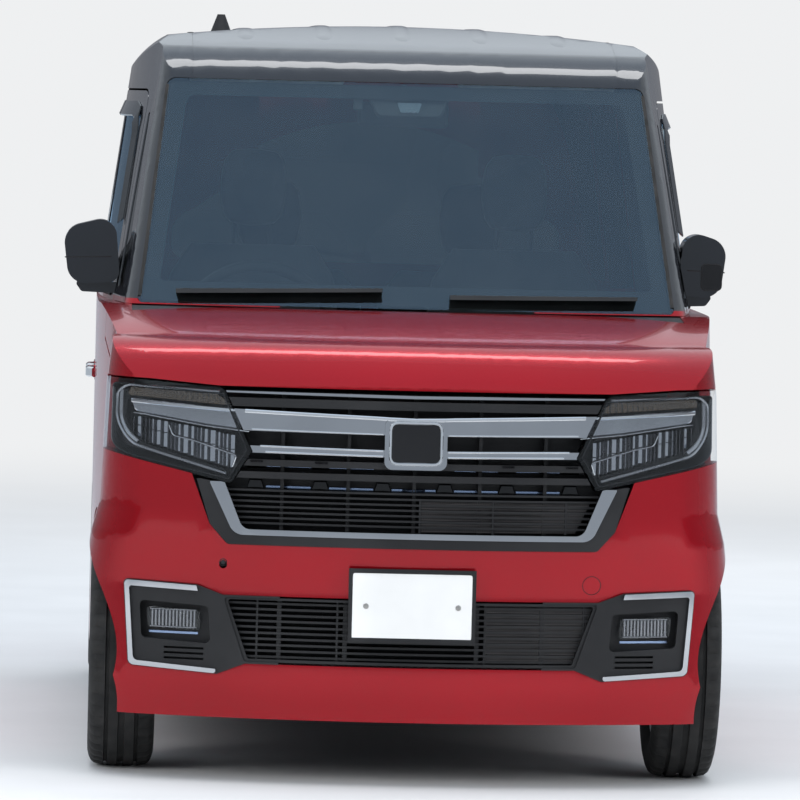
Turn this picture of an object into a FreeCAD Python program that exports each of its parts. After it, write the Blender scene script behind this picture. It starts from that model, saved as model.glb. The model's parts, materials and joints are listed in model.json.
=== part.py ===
"""Tall kei car, two hinged front doors, two sliding rear doors and a top-hinged tailgate.

Millimetres. X points to the car's left, Y rearwards and Z up from the floor the tyres stand on.
Lengths along the car are first given as stations, counted rearwards from the front bumper's face.
"""
import FreeCAD, Part
import math
import os
import Sketcher
from collections import namedtuple

from FreeCAD import Placement, Rotation, Vector

# Driving dimensions: alias, value in mm or degrees, what it is
DIMENSIONS = (
    ("car_length", 3395.0, "overall length"),
    ("car_width", 1475.0, "body width at the waist"),
    ("wheelbase", 2520.0, "front axle to rear axle"),
    ("front_overhang", 475.0, "bumper face to front axle"),
    ("track", 1305.0, "between the tyres' middles"),
    ("tyre_radius", 278.5, "outside radius of the tyre"),
    ("tyre_width", 155.0, "section width of the tyre"),
    ("bead_radius", 177.8, "radius of the rim's bead seat"),
    ("rim_width", 114.0, "between the rim's flanges"),
    ("rim_wall", 7.0, "thickness of the rim's barrel"),
    ("spoke_count", 8.0, "windows through the wheel's disc"),
    ("stub_radius", 24.0, "radius of each wheel spindle"),
    ("stub_clearance", 0.05, "radial clearance of a wheel on its spindle"),
    ("brake_radius", 112.0, "radius of the brake disc"),
    ("arch_radius", 322.0, "radius of the wheel arches"),
    ("liner_wall", 4.0, "thickness of the arch liners"),
    ("steer_lock", 35.0, "steering angle each way"),
    ("kingpin_offset", 592.0, "steering axis from the car's middle"),
    ("belt_height", 1071.0, "shoulder of the body below the windows"),
    ("roof_height", 1749.0, "top of the roof"),
    ("header_height", 1615.0, "top edge of the windscreen"),
    ("sill_height", 168.0, "underside of the sills"),
    ("nose_height", 903.0, "lower front edge of the bonnet"),
    ("crest_height", 1011.0, "where the bonnet turns flat"),
    ("crest_set", 160.0, "crest behind the nose"),
    ("scuttle_set", 450.0, "where the bonnet's slope ends, behind the nose"),
    ("nose_bow", 1650.0, "plan radius of the nose"),
    ("screen_bow", 3000.0, "plan radius of the windscreen"),
    ("screen_foot", 606.0, "station of the windscreen's foot at the belt"),
    ("screen_rake", 0.672, "rearward run of the windscreen for each unit of rise"),
    ("shoulder_station", 1560.0, "where the side glass reaches the body's full width"),
    ("tumblehome", 66.0, "how far the side glass leans in at the top"),
    ("cant_height", 1558.0, "height at which the side glass ends"),
    ("tail_lean", 85.0, "how far the tailgate leans forward at the top"),
    ("wall", 90.0, "depth of the body side and its pillars"),
    ("door_wall", 50.0, "thickness of a door"),
    ("door_gap", 5.0, "gap round a door and behind it"),
    ("hinge_gap", 8.0, "shut gap that holds the hinge barrels"),
    ("panel_wall", 25.0, "thickness of bonnet, wings and bumpers with their inner panels"),
    ("roof_wall", 32.0, "thickness of the roof"),
    ("gate_wall", 60.0, "thickness of the tailgate"),
    ("glass_wall", 5.0, "thickness of the glass"),
    ("seam", 0.4, "seam between fixed panels"),
    ("flange", 28.0, "overlap of a door on its frame"),
    ("door_front", 905.0, "station of the front door's front edge"),
    ("pillar_station", 1748.0, "station of the middle pillar"),
    ("door_rear", 2612.0, "station of the sliding door's rear edge"),
    ("door_foot", 206.0, "bottom edge of the doors"),
    ("door_head", 1574.0, "top edge of the doors"),
    ("glass_foot", 1092.0, "bottom edge of the side glass"),
    ("glass_head", 1530.0, "top edge of the side glass"),
    ("gate_station", 3222.0, "station of the tailgate's hinge"),
    ("gate_half", 600.0, "half the tailgate's width"),
    ("gate_foot", 482.0, "bottom edge of the tailgate"),
    ("bonnet_rear", 545.0, "station of the bonnet's rear edge"),
    ("floor_height", 225.0, "cabin floor"),
    ("floor_depth", 38.0, "thickness of the floor with its beams"),
    ("rear_step", 2380.0, "station of the step up to the load floor"),
    ("deck_height", 400.0, "load floor's top"),
    ("firewall_station", 838.0, "front of the cabin"),
    ("seat_offset", 335.0, "middle of a front seat from the car's middle"),
    ("seat_station", 1470.0, "front of a front cushion"),
    ("bench_station", 2390.0, "front of the rear cushion"),
    ("steering_radius", 183.0, "middle radius of the steering wheel's ring"),
    ("steering_grip", 15.0, "radius of the ring's section"),
    ("plate_width", 290.0, "number plate carrier's width"),
    ("plate_height", 170.0, "number plate carrier's height"),
    ("plate_spacing", 210.0, "between the plate's screw holes"),
    ("plate_hole", 3.0, "radius of a plate screw hole"),
    ("tow_hole", 9.0, "radius of the towing eye's socket"),
)

doc = FreeCAD.newDocument("kei_car")
sheet = doc.addObject("Spreadsheet::Sheet", "dims")
for row, (alias, value, meaning) in enumerate(DIMENSIONS, start=1):
    sheet.set(f"A{row}", meaning)
    sheet.set(f"B{row}", str(value))
    sheet.setAlias(f"B{row}", alias)
doc.recompute()


class Sizes:
    """Reads a driving dimension from the sheet by its alias."""

    def __getattr__(self, alias):
        return float(sheet.get(alias))


size = Sizes()
HALF_LENGTH = size.car_length / 2
HALF_WIDTH = size.car_width / 2
FRONT_AXLE = size.front_overhang
REAR_AXLE = size.front_overhang + size.wheelbase
AXLE_HEIGHT = size.tyre_radius
BIG = 4000.0
SIDES = (("left", 1), ("right", -1))
nodes = []


def at(x, station, height):
    """A point from its offset, its station and its height."""
    return Vector(x, station - HALF_LENGTH, height)


def add_node(label, shape):
    """A sub-part whose shape comes from the functions of this file."""
    feature = doc.addObject("Part::Feature", label)
    feature.Label = label
    feature.Shape = shape
    nodes.append(feature)
    return feature


def mirrored(shape):
    """The same shape on the car's other side."""
    return shape.mirror(Vector(0, 0, 0), Vector(1, 0, 0))


def both(shape):
    """One shape and its twin on the other side."""
    return Part.makeCompound([shape, mirrored(shape)])


def block(x_low, x_high, s_low, s_high, z_low, z_high):
    """A box between two offsets, two stations and two heights."""
    return Part.makeBox(x_high - x_low, s_high - s_low, z_high - z_low, at(x_low, s_low, z_low))


def rounded_wire(corners, place):
    """A closed outline; each corner is (u, v, radius) and place turns (u, v) into a point."""
    count = len(corners)
    starts = []
    ends = []
    middles = []
    for index, corner in enumerate(corners):
        here = Vector(corner[0], corner[1], 0)
        radius = corner[2] if len(corner) > 2 else 0.0
        before = Vector(*corners[index - 1][:2], 0) - here
        after = Vector(*corners[(index + 1) % count][:2], 0) - here
        if radius <= 0:
            starts.append(here)
            ends.append(here)
            middles.append(None)
            continue
        half_angle = before.getAngle(after) / 2
        reach = radius / math.tan(half_angle)
        before.normalize()
        after.normalize()
        bisector = before + after
        bisector.normalize()
        centre = here + bisector * (radius / math.sin(half_angle))
        starts.append(here + before * reach)
        ends.append(here + after * reach)
        middles.append(centre - bisector * radius)
    edges = []
    for index in range(count):
        if middles[index] is not None:
            arc = [place(p.x, p.y) for p in (starts[index], middles[index], ends[index])]
            edges.append(Part.Arc(*arc).toShape())
        here = ends[index]
        there = starts[(index + 1) % count]
        if here.distanceToPoint(there) > 1e-6:
            edges.append(Part.LineSegment(place(here.x, here.y), place(there.x, there.y)).toShape())
    return Part.Wire(edges)


def side_prism(corners, x_low, x_high):
    """An outline of (station, height, radius) carried across the car."""
    wire = rounded_wire(corners, lambda u, v: at(x_low, u, v))
    return Part.Face(wire).extrude(Vector(x_high - x_low, 0, 0))


def front_prism(corners, s_low, s_high):
    """An outline of (offset, height, radius) carried along the car."""
    wire = rounded_wire(corners, lambda u, v: at(u, s_low, v))
    return Part.Face(wire).extrude(Vector(0, s_high - s_low, 0))


def plan_prism(corners, z_low, z_high):
    """An outline of (offset, station, radius) carried upwards."""
    wire = rounded_wire(corners, lambda u, v: at(u, v, z_low))
    return Part.Face(wire).extrude(Vector(0, 0, z_high - z_low))


def symmetric(corners):
    """The full outline from its left half, listed from the bottom to the top."""
    other = [(-corner[0],) + tuple(corner[1:]) for corner in reversed(corners)]
    return list(corners) + other


def grown(corners, by):
    """An outline moved outwards all round by a distance, or inwards where it is negative."""
    count = len(corners)
    centre_u = sum(corner[0] for corner in corners) / count
    centre_v = sum(corner[1] for corner in corners) / count
    area = sum(
        corners[i][0] * corners[(i + 1) % count][1] - corners[(i + 1) % count][0] * corners[i][1]
        for i in range(count)
    )
    turn = 1.0 if area > 0 else -1.0
    out = []
    for index, corner in enumerate(corners):
        before = Vector(*corners[index - 1][:2], 0)
        here = Vector(corner[0], corner[1], 0)
        after = Vector(*corners[(index + 1) % count][:2], 0)
        first = (here - before).normalize()
        second = (after - here).normalize()
        normal_1 = Vector(first.y, -first.x, 0) * turn
        normal_2 = Vector(second.y, -second.x, 0) * turn
        mitre = (normal_1 + normal_2).normalize()
        step = by / max(0.3, mitre.dot(normal_1))
        moved = here + mitre * step
        radius = corner[2] if len(corner) > 2 else 0.0
        out.append((moved.x, moved.y, max(0.0, radius + by) if radius > 0 else 0.0))
    return out


# The body's skins
SIDE_BULGE = 2.0
FLANK_TUCK = 8.5
ROOF_FALL = ((300.0, 34.0), (1300.0, 4.0), (1800.0, 0.0), (2500.0, 7.0), (3600.0, 46.0))
Section = namedtuple("Section", "height setback tuck taper tail")


def plan_wire(row, inset, bow, nose_width, nose_depth, nose_corner, full_station):
    """One horizontal outline of the body, moved in all round by the inset.

    A bowed nose, a rounded corner, a side that widens up to full_station and a squarer tail.
    """
    half = HALF_WIDTH - row.tuck - inset
    front = row.setback + inset
    rear = size.car_length - row.tail - inset
    side_x = half - row.taper
    nose_x = side_x - nose_width
    nose_s = front + nose_x**2 / (2 * bow)
    side_s = nose_s + nose_depth
    full_x = half - SIDE_BULGE
    tail_s = rear - 170
    points = (
        (nose_x, nose_s),
        (nose_x + nose_width * nose_corner, side_s - nose_depth * nose_corner),
        (side_x, side_s),
        (full_x - (full_x - side_x) * 0.25, (side_s + full_station) / 2),
        (full_x, full_station),
        (half, (full_station + tail_s) / 2),
        (half - 16, tail_s),
        (half - 36, rear - 68),
        (half - 120, rear - 30),
    )
    left = [at(x, station, row.height) for x, station in points]
    right = [at(-x, station, row.height) for x, station in points]
    edges = [arc(right[0], at(0, front, row.height), left[0])]
    for first in (0, 2, 4, 6):
        edges.append(arc(*left[first:first + 3]))
    edges.append(arc(left[8], at(0, rear, row.height), right[8]))
    for last in (8, 6, 4, 2):
        edges.append(arc(right[last], right[last - 1], right[last - 2]))
    return Part.Wire(edges)


def turned_limit(profile, axis_station):
    """A solid turned about an upright axis from its (radius, height) profile of lines and arcs."""
    turned = Part.Face(Part.Wire(profile)).revolve(Vector(0, 0, 0), Vector(0, 0, 1), 360)
    turned.translate(at(0, axis_station, 0))
    return turned


def line(start, end):
    return Part.LineSegment(start, end).toShape()


def arc(start, middle, end):
    return Part.Arc(start, middle, end).toShape()


def upright(radius, height):
    """A point of a turned profile."""
    return Vector(radius, 0, height)


def lower_body(inset):
    """The body below the windows, with the bonnet's top."""
    base = size.sill_height - 19
    top = size.belt_height - inset
    rows = (
        Section(base, 39, 22, -4, 40),
        Section(base + 86, 13, FLANK_TUCK, -FLANK_TUCK, 10),
        Section(base + 300, 22, FLANK_TUCK, -FLANK_TUCK, 0),
        Section(base + 410, 13, FLANK_TUCK, 6, 0),
        Section(base + 480, 14, FLANK_TUCK, 24, 16),
        Section(size.nose_height, 16, FLANK_TUCK, 34, 16),
        Section(size.belt_height + 60, 33, FLANK_TUCK, 60, 16),
    )
    wires = [plan_wire(row, inset, size.nose_bow, 96, 212, 0.74, size.door_front) for row in rows]
    body = Part.makeLoft(wires, True, True)
    # The bonnet's top is turned about an upright axis behind it, so that its crest follows the nose
    reach = size.nose_bow - inset
    nose = size.nose_height - inset
    crest = size.crest_height - inset
    crest_r = reach - size.crest_set
    flat_r = reach - size.scuttle_set
    profile = [
        line(upright(0, -50), upright(reach + 90, -50)),
        line(upright(reach + 90, -50), upright(reach + 90, nose)),
        line(upright(reach + 90, nose), upright(reach, nose)),
        arc(upright(reach, nose), upright(reach - 42, nose + 62), upright(crest_r, crest)),
        arc(upright(crest_r, crest), upright((crest_r + flat_r) / 2, (crest + top) / 2 + 9), upright(flat_r, top)),
        line(upright(flat_r, top), upright(0, top)),
        line(upright(0, top), upright(0, -50)),
    ]
    turned = turned_limit(profile, 12 + size.nose_bow)
    split = size.door_front
    front = turned.common(block(-BIG, BIG, -200, split, -20, BIG))
    rear = block(-BIG, BIG, split, BIG, -20, top)
    return body.common(front.fuse(rear))


def cabin_rows():
    """Outlines of the cabin, whose front leans with the windscreen."""
    heights = (size.belt_height, size.cant_height, size.roof_height + 60)
    tucks = (FLANK_TUCK, FLANK_TUCK + size.tumblehome, 42 + size.tumblehome)
    tails = (16, 7 + size.tail_lean, 60 + size.tail_lean)
    rows = []
    for height, tuck, tail in zip(heights, tucks, tails):
        setback = size.screen_foot + (height - size.belt_height) * size.screen_rake
        rows.append(Section(height, setback, tuck, 63, tail))
    return rows


# The rounding of the roof's rear edge: run behind the tail's top and drop below the roof
TAIL_ARC = ((80.0, 220.0), (-24.0, 90.0), (-190.0, 8.0))


def roof_tail():
    return size.car_length - size.tail_lean - 20


def height_on_arc(points, u):
    """The height, at u, of the circle through three (u, height) points."""
    circle = Part.Circle(*[Vector(x, y, 0) for x, y in points])
    rise = math.sqrt(circle.Radius**2 - (u - circle.Center.x) ** 2)
    return circle.Center.y + rise


def roof_limit(inset):
    """What the roof's crown, its rounded edges, its forehead and its tail leave of the cabin."""
    roof = size.roof_height - inset
    half = HALF_WIDTH - FLANK_TUCK - size.tumblehome - inset
    edge = half - 95
    out = HALF_WIDTH + 40
    # The crown keeps its section and falls a little to both ends
    wires = []
    for station, fall in ROOF_FALL:
        top = roof - fall
        left = at(edge, station, top - 33), at(half - 30, station, top - 84), at(half + 16, station, top - 165)
        right = at(-half - 16, station, top - 165), at(-half + 30, station, top - 84), at(-edge, station, top - 33)
        wires.append(Part.Wire([
            arc(right[2], at(0, station, top), left[0]),
            arc(*left),
            line(left[2], at(out, station, 600)),
            line(at(out, station, 600), at(-out, station, 600)),
            line(at(-out, station, 600), right[0]),
            arc(*right),
        ]))
    crowned = Part.makeLoft(wires, True, True)
    # The forehead is turned about an upright axis so that it bows with the windscreen
    header_s = size.screen_foot + (size.header_height - size.belt_height) * size.screen_rake
    reach = size.screen_bow - inset
    head = size.header_height - inset
    above = size.roof_height + 40
    profile = [
        line(upright(0, 500), upright(reach + 900, 500)),
        line(upright(reach + 900, 500), upright(reach + 900, head - 16)),
        line(upright(reach + 900, head - 16), upright(reach + 16, head - 16)),
        arc(upright(reach + 16, head - 16), upright(reach - 40, head + 36), upright(reach - 118, roof - 62)),
        arc(upright(reach - 118, roof - 62), upright(reach - 330, roof - 24), upright(reach - 760, roof + 12)),
        line(upright(reach - 760, roof + 12), upright(reach - 900, above)),
        line(upright(reach - 900, above), upright(0, above)),
        line(upright(0, above), upright(0, 500)),
    ]
    turned = turned_limit(profile, header_s + size.screen_bow)
    # The roof's rear edge is rounded down to the tailgate
    tail = roof_tail() - inset
    fall = [
        line(at(-BIG, 0, 500), at(-BIG, tail + 300, 500)),
        line(at(-BIG, tail + 300, 500), at(-BIG, tail + 80, roof - 220)),
        arc(*[at(-BIG, tail + run, roof - drop) for run, drop in TAIL_ARC]),
        line(at(-BIG, tail + TAIL_ARC[2][0], roof - TAIL_ARC[2][1]), at(-BIG, tail - 420, above)),
        line(at(-BIG, tail - 420, above), at(-BIG, 0, above)),
        line(at(-BIG, 0, above), at(-BIG, 0, 500)),
    ]
    falling = Part.Face(Part.Wire(fall)).extrude(Vector(2 * BIG, 0, 0))
    return crowned.common(turned).common(falling)


def cabin_body(inset):
    """The body from the belt to the roof."""
    wires = []
    for row in cabin_rows():
        row = row._replace(height=row.height - inset)
        wires.append(plan_wire(row, inset, size.screen_bow, 37, 62, 0.7, size.shoulder_station))
    return Part.makeLoft(wires, True, True).common(roof_limit(inset))


bodies_by_inset = {}


def envelope(inset):
    """The whole body's outer form, moved in by the inset."""
    key = round(inset, 3)
    if key not in bodies_by_inset:
        bodies_by_inset[key] = lower_body(inset).fuse(cabin_body(inset))
    return bodies_by_inset[key]


def skin(outer, inner):
    """What lies between two depths under the outer surface."""
    return envelope(outer).cut(envelope(inner))


def panel(outer, inner, prism):
    """The part of a prism that lies between two depths under the outer surface."""
    return prism.common(envelope(outer)).cut(envelope(inner))


def fill(inset, prism):
    """The part of a prism that lies inside the body at a depth."""
    return prism.common(envelope(inset))


def bow(prism, front, rear):
    """The part of a prism between two arcs that follow the nose, given by their middles' stations."""
    centre_s = 9 + size.nose_bow
    axis = Vector(0, 0, 1)
    outer = Part.makeCylinder(centre_s - front, 1400, at(0, centre_s, 0), axis)
    inner = Part.makeCylinder(centre_s - rear, 1400, at(0, centre_s, 0), axis)
    return prism.common(outer).cut(inner)


# Outlines seen from the front: half of each, from the middle outwards, as (offset, height, radius)
LAMP_INNER_TOP = (434.0, 894.0)
LAMP_INNER = (372.0, 760.0)
LAMP_TIP = (417.0, 686.0)
LAMP_FOOT = (700.0, 749.0)
BONNET_EDGE = ((0.0, size.nose_height - 1), (445.0, size.nose_height + 2), (606.0, size.nose_height + 13))
BONNET_SIDE = size.nose_height + 17
GRILLE_FOOT = ((0.0, 533.0), (422.0, 547.0, 14.0), (463.0, 592.0, 14.0), (506.0, 706.0))
U_OUTER = ((0.0, 565.0), (408.0, 570.0, 34.0), (464.0, 686.0, 3.0))
U_INNER = ((0.0, 577.5), (388.0, 583.0, 26.0), (434.0, 696.0))
LOWER_MOUTH = (
    (0.0, 274.0),
    (376.0, 276.0, 8.0),
    (439.0, 250.0, 10.0),
    (642.0, 262.0, 14.0),
    (656.0, 459.0, 10.0),
    (488.0, 452.0, 6.0),
    (429.0, 431.0, 10.0),
    (0.0, 434.0),
)
LOWER_GRILLE = ((0.0, 279.0), (378.0, 281.0, 8.0), (428.0, 427.0, 8.0), (0.0, 430.0))
LAMP_DEPTH = 110.0
LAMP_REAR = 410.0


def closed_front(half, s_low, s_high, top=None):
    """A symmetric front outline from its half; top closes it above at a height."""
    left = list(half)
    if top is not None:
        left.append((half[-1][0], top))
    middle = [corner for corner in left if corner[0] > 0]
    return front_prism(symmetric(middle), s_low, s_high)


def lamp_outline():
    """The left headlamp from the front; it runs on round the wing."""
    side = HALF_WIDTH + 30
    return [
        (*LAMP_INNER_TOP, 4.0),
        (*LAMP_INNER, 8.0),
        (*LAMP_TIP, 8.0),
        (LAMP_FOOT[0], LAMP_FOOT[1], 60.0),
        (side, LAMP_FOOT[1] + 14),
        (side, BONNET_SIDE - 2),
        (BONNET_EDGE[2][0], BONNET_EDGE[2][1] - 2, 60.0),
        (BONNET_EDGE[1][0], BONNET_EDGE[1][1] - 2, 20.0),
    ]


def lamp_prism(gap=0.0):
    return front_prism(grown(lamp_outline(), gap), -60, LAMP_REAR + gap)


def bonnet_prism(gap=0.0):
    """All that the bonnet covers: above the lamps and grille, and down to a line along the wings."""
    side = HALF_WIDTH + 40
    corners = [(x, z - gap) for x, z in BONNET_EDGE[1:]] + [(side, BONNET_SIDE - gap)]
    corners.append((side, size.belt_height + 60))
    rear = size.bonnet_rear + max(0.0, gap)
    above = front_prism(symmetric(corners), -60, rear)
    wing_line = [
        (-70, BONNET_SIDE - gap - 60),
        (200, BONNET_SIDE - gap - 60),
        (280, BONNET_SIDE - gap, 80),
        (rear, BONNET_SIDE + 76 - gap),
        (rear, size.belt_height + 60),
        (-70, size.belt_height + 60),
    ]
    return above.common(side_prism(wing_line, -BIG, BIG))


def arch_cutter(station, x_low, x_high, radius=None):
    """A wheel arch's cylinder across one side of the car."""
    radius = size.arch_radius if radius is None else radius
    return Part.makeCylinder(radius, x_high - x_low, at(x_low, station, AXLE_HEIGHT), Vector(1, 0, 0))


# Panels of the nose
def make_bonnet():
    bonnet = panel(0, size.panel_wall, bonnet_prism(-size.door_gap / 2))
    return bonnet.fuse(hinge_leaves("bonnet", "moving"))


def bumper_zone(gap=0.0):
    """Everything ahead of the seam between bumper and wing."""
    seam = [
        (-70, 100),
        (304 + gap, 100),
        (304 + gap, 560),
        (340 + gap, LAMP_FOOT[1] + 4 + gap),
        (-70, LAMP_FOOT[1] + 4 + gap),
    ]
    return side_prism(seam, -BIG, BIG)


def make_front_bumper():
    shell = panel(0, size.panel_wall, bumper_zone())
    shell = shell.cut(closed_front(GRILLE_FOOT, -60, 600, 960))
    shell = shell.cut(lamp_prism(size.seam)).cut(mirrored(lamp_prism(size.seam)))
    shell = shell.cut(closed_front(LOWER_MOUTH, -60, 600))
    for sign in (1, -1):
        low, high = sorted((sign * 330, sign * BIG))
        shell = shell.cut(arch_cutter(FRONT_AXLE, low, high))
    tow = Part.makeCylinder(size.tow_hole, 200, at(-430, -60, 500), Vector(0, 1, 0))
    return shell.cut(tow)


def make_front_wings():
    zone = block(330, BIG, -60, size.door_front - size.hinge_gap, size.sill_height + 20, size.belt_height + 40)
    wing = panel(0, size.panel_wall, zone).common(lower_body(0)).cut(cabin_body(-size.seam))
    wing = wing.cut(bonnet_prism(size.door_gap / 2)).cut(bumper_zone(size.seam)).cut(lamp_prism(size.seam))
    wing = wing.cut(arch_cutter(FRONT_AXLE, 330, BIG))
    wing = wing.cut(block(-BIG, 648, -60, BIG, size.belt_height - 60, size.belt_height + 60))
    solids = sorted(wing.Solids, key=lambda solid: solid.Volume)
    return both(solids[-1])


def bars(clip, x_half, heights, thickness, front, rear):
    """Level bars across the mouth that follow the nose's bow."""
    strips = [block(-x_half, x_half, -60, 500, height, height + thickness) for height in heights]
    return [bow(strip.common(clip), front, rear) for strip in strips]


def posts(clip, offsets, half_width, front, rear):
    """Upright ribs across the mouth."""
    strips = [block(x - half_width, x + half_width, -60, 500, 200, 960) for x in offsets]
    return [bow(strip.common(clip), front, rear) for strip in strips]


def upper_mouth():
    """The opening between the headlamps, down to the black surround."""
    edge = 2 * size.seam
    half = [
        (506.0 - edge, 706.0),
        (LAMP_TIP[0] - 2, LAMP_TIP[1] - 4),
        (LAMP_INNER[0] - 3, LAMP_INNER[1]),
        (LAMP_INNER_TOP[0] - 3, LAMP_INNER_TOP[1]),
        (LAMP_INNER_TOP[0] - 1, LAMP_INNER_TOP[1] + 3),
    ]
    foot = [
        (GRILLE_FOOT[1][0] - 0.4, GRILLE_FOOT[1][1] + edge, 14.0),
        (GRILLE_FOOT[2][0] - 0.4, GRILLE_FOOT[2][1] + edge, 14.0),
        (495.0, 696.0),
    ]
    return front_prism(symmetric(foot + half[1:]), -60, 600)


def make_upper_grille():
    mouth = upper_mouth()
    back = bow(mouth, 74, 80)
    foot = block(-BIG, BIG, -60, 600, 500, 694)
    inside = closed_front(U_INNER, -60, 600, 712).common(mouth).common(foot)
    surround = mouth.cut(closed_front(U_OUTER, -60, 600, 712)).common(foot)
    head = mouth.common(block(-BIG, BIG, -60, 600, 690, 1000))
    parts = bars(inside, 450, [594 + 12.5 * i for i in range(7)], 4.5, 34, 75)
    parts += bars(head, 450, (699, 727), 15, 24, 75)
    parts += bars(head, 450, (862,), 20, 20, 75)
    parts += posts(mouth, (-300, -150, 0, 150, 300), 4, 46, 75)
    parts.append(bow(surround, 6, 75))
    return back.multiFuse(parts)


def band(foot, head, clip, front, rear):
    """A level band; foot and head are its edges' heights at the middle and beside the lamps."""
    reach = 440.0
    corners = [(-reach, foot[1]), (0, foot[0]), (reach, foot[1]), (reach, head[1]), (0, head[0]), (-reach, head[1])]
    return bow(front_prism(corners, -60, 500).common(clip), front, rear)


FOG_HOOK = ((440.5, 251.5, 6), (640.5, 263.5, 14), (654.3, 457.4, 9), (489.5, 450.3, 3))
FOG_HOOK_INSIDE = ((430, 261, 3), (630, 274, 12), (643, 444, 6), (480, 438, 3))


def fog_hook():
    """The bright hook round a fog lamp's recess, open towards the middle."""
    return front_prism(FOG_HOOK, -60, 320).cut(front_prism(FOG_HOOK_INSIDE, -60, 320))


# How deep the bright trims reach, to the posts behind them
TRIM_REAR = 45.6


def make_front_trim():
    mouth = upper_mouth()
    loop = closed_front(U_OUTER, -60, 600, 690).cut(closed_front(U_INNER, -60, 600, 760))
    loop = loop.cut(lamp_prism(1)).cut(mirrored(lamp_prism(1)))
    rails = [
        band((805, 808), (845, 857), mouth, 14, TRIM_REAR),
        band((755, 758), (771, 774), mouth, 16, TRIM_REAR),
        band((889, 893), (896, 899), mouth, 16, TRIM_REAR),
    ]
    badge = [(71, 728, 18), (71, 845, 18), (-71, 845, 18), (-71, 728, 18)]
    rails.append(bow(front_prism(badge, -60, 300), 2, 20))
    rails.append(bow(front_prism([(30, 760), (30, 812), (-30, 812), (-30, 760)], -60, 300), 18, TRIM_REAR))
    joined = rails[0].multiFuse(rails[1:])
    return Part.makeCompound([bow(loop, 3, TRIM_REAR), joined, both(bow(fog_hook(), 3, 16))])


def make_lower_grille():
    mouth = closed_front(LOWER_GRILLE, -60, 600)
    parts = bars(mouth, 440, [290 + 13.5 * i for i in range(10)], 5, 26, 71)
    parts += posts(mouth, (-300, -150, 150, 300), 5, 30, 71)
    rim = mouth.cut(front_prism(symmetric([(370.0, 287.0, 6.0), (419.0, 422.0, 6.0)]), -60, 600))
    parts.append(bow(rim, 14, 71))
    return bow(mouth, 70, 76).multiFuse(parts)


def make_fog_surrounds():
    """Black mouldings beside the lower grille with a recess for each fog lamp."""
    mouth = closed_front(LOWER_MOUTH, -60, 330)
    zone = mouth.common(block(300, BIG, -60, 330, 200, 500))
    zone = zone.cut(closed_front(LOWER_GRILLE, -60, 600))
    moulding = bow(zone, 10, 42).cut(bow(fog_hook(), -5, 16.4))
    moulding = moulding.cut(front_prism(fog_recess(), -60, 600))
    floor = bow(front_prism(grown(fog_recess(), 8), -60, 330), 41, 47)
    slots = [bow(block(470, 560, -60, 330, z, z + 5), 0, 28) for z in (280, 292, 304)]
    joined = moulding.fuse(floor).cut(slots)
    return both(joined)


def fog_recess():
    return [(455, 318, 12), (612, 326, 12), (618, 412, 12), (462, 404, 12)]


def make_fog_lamps():
    lens = [(478, 346, 10), (598, 351, 10), (602, 398, 10), (481, 393, 10)]
    return both(bow(front_prism(lens, -60, 330), 22, 40.8))


def make_headlamps():
    return both(panel(0, LAMP_DEPTH, lamp_prism()).Solids[0])


def make_plate_carrier():
    """A flat frame for the number plate, fixed across the bumper's middle."""
    half = size.plate_width / 2
    frame_front = 0.0
    carrier = block(-half, half, frame_front, 12, 332, 332 + size.plate_height)
    recess = block(-half + 6, half - 6, frame_front - 5, frame_front + 3, 338, 326 + size.plate_height)
    carrier = carrier.cut(recess)
    carrier = carrier.fuse(block(-half + 20, half - 20, 10, 42, 440, 480).cut(envelope(-size.seam)))
    for sign in (1, -1):
        hole = Part.makeCylinder(
            size.plate_hole, 60, at(sign * size.plate_spacing / 2, -30, 417), Vector(0, 1, 0)
        )
        carrier = carrier.cut(hole)
    return carrier


def make_radiator():
    """The cooling pack behind the lower grille, on its crossmember."""
    return block(-330, 330, 128, 162, 240, 640)


# Cabin glass and sides
def screen_half(gap):
    """Half of the windscreen's outline from the front."""
    slope = 65.0 / (size.header_height - size.belt_height)
    foot = size.belt_height + 4
    head = size.header_height - 8
    foot_x = 636 - (foot - size.belt_height) * slope
    head_x = 636 - (head - size.belt_height) * slope
    return [(foot_x + gap, foot - gap, 12), (head_x + gap, head + gap, 22)]


def screen_prism(gap=0.0):
    return front_prism(symmetric(screen_half(gap)), 300, 1250)


def make_windscreen():
    return panel(1, 1 + size.glass_wall, screen_prism())


def make_cowl():
    """The tray between bonnet and windscreen, and the shelf from it back to the firewall."""
    plan = [(647.7, size.bonnet_rear + size.hinge_gap), (647.7, size.bonnet_rear + 180)]
    zone = plan_prism(symmetric(plan), size.belt_height - 70, size.belt_height + 2)
    tray = panel(3, 45, zone)
    tray = tray.cut(block(-BIG, BIG, 300, 1300, size.belt_height - 1 - 2, BIG))
    rear = size.firewall_station + 12
    shelf = block(-545, 545, size.bonnet_rear + 165, rear, size.belt_height - 67, size.belt_height - 41)
    foot = size.belt_height - 120 + size.seam
    bulkhead = block(-540, 540, size.firewall_station, rear, foot, size.belt_height - 50)
    return tray.multiFuse([shelf, bulkhead, hinge_leaves("bonnet", "fixed")])


def roof_zone(gap=0.0):
    rail = 512 + gap
    return plan_prism(
        [(rail, 700), (rail, size.gate_station - size.hinge_gap), (-rail, size.gate_station - size.hinge_gap),
         (-rail, 700)], size.header_height - 8 + 0.4, BIG / 2)


def make_roof():
    roof = panel(0, size.roof_wall, roof_zone())
    return roof.fuse(hinge_leaves("tailgate", "fixed"))


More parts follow.
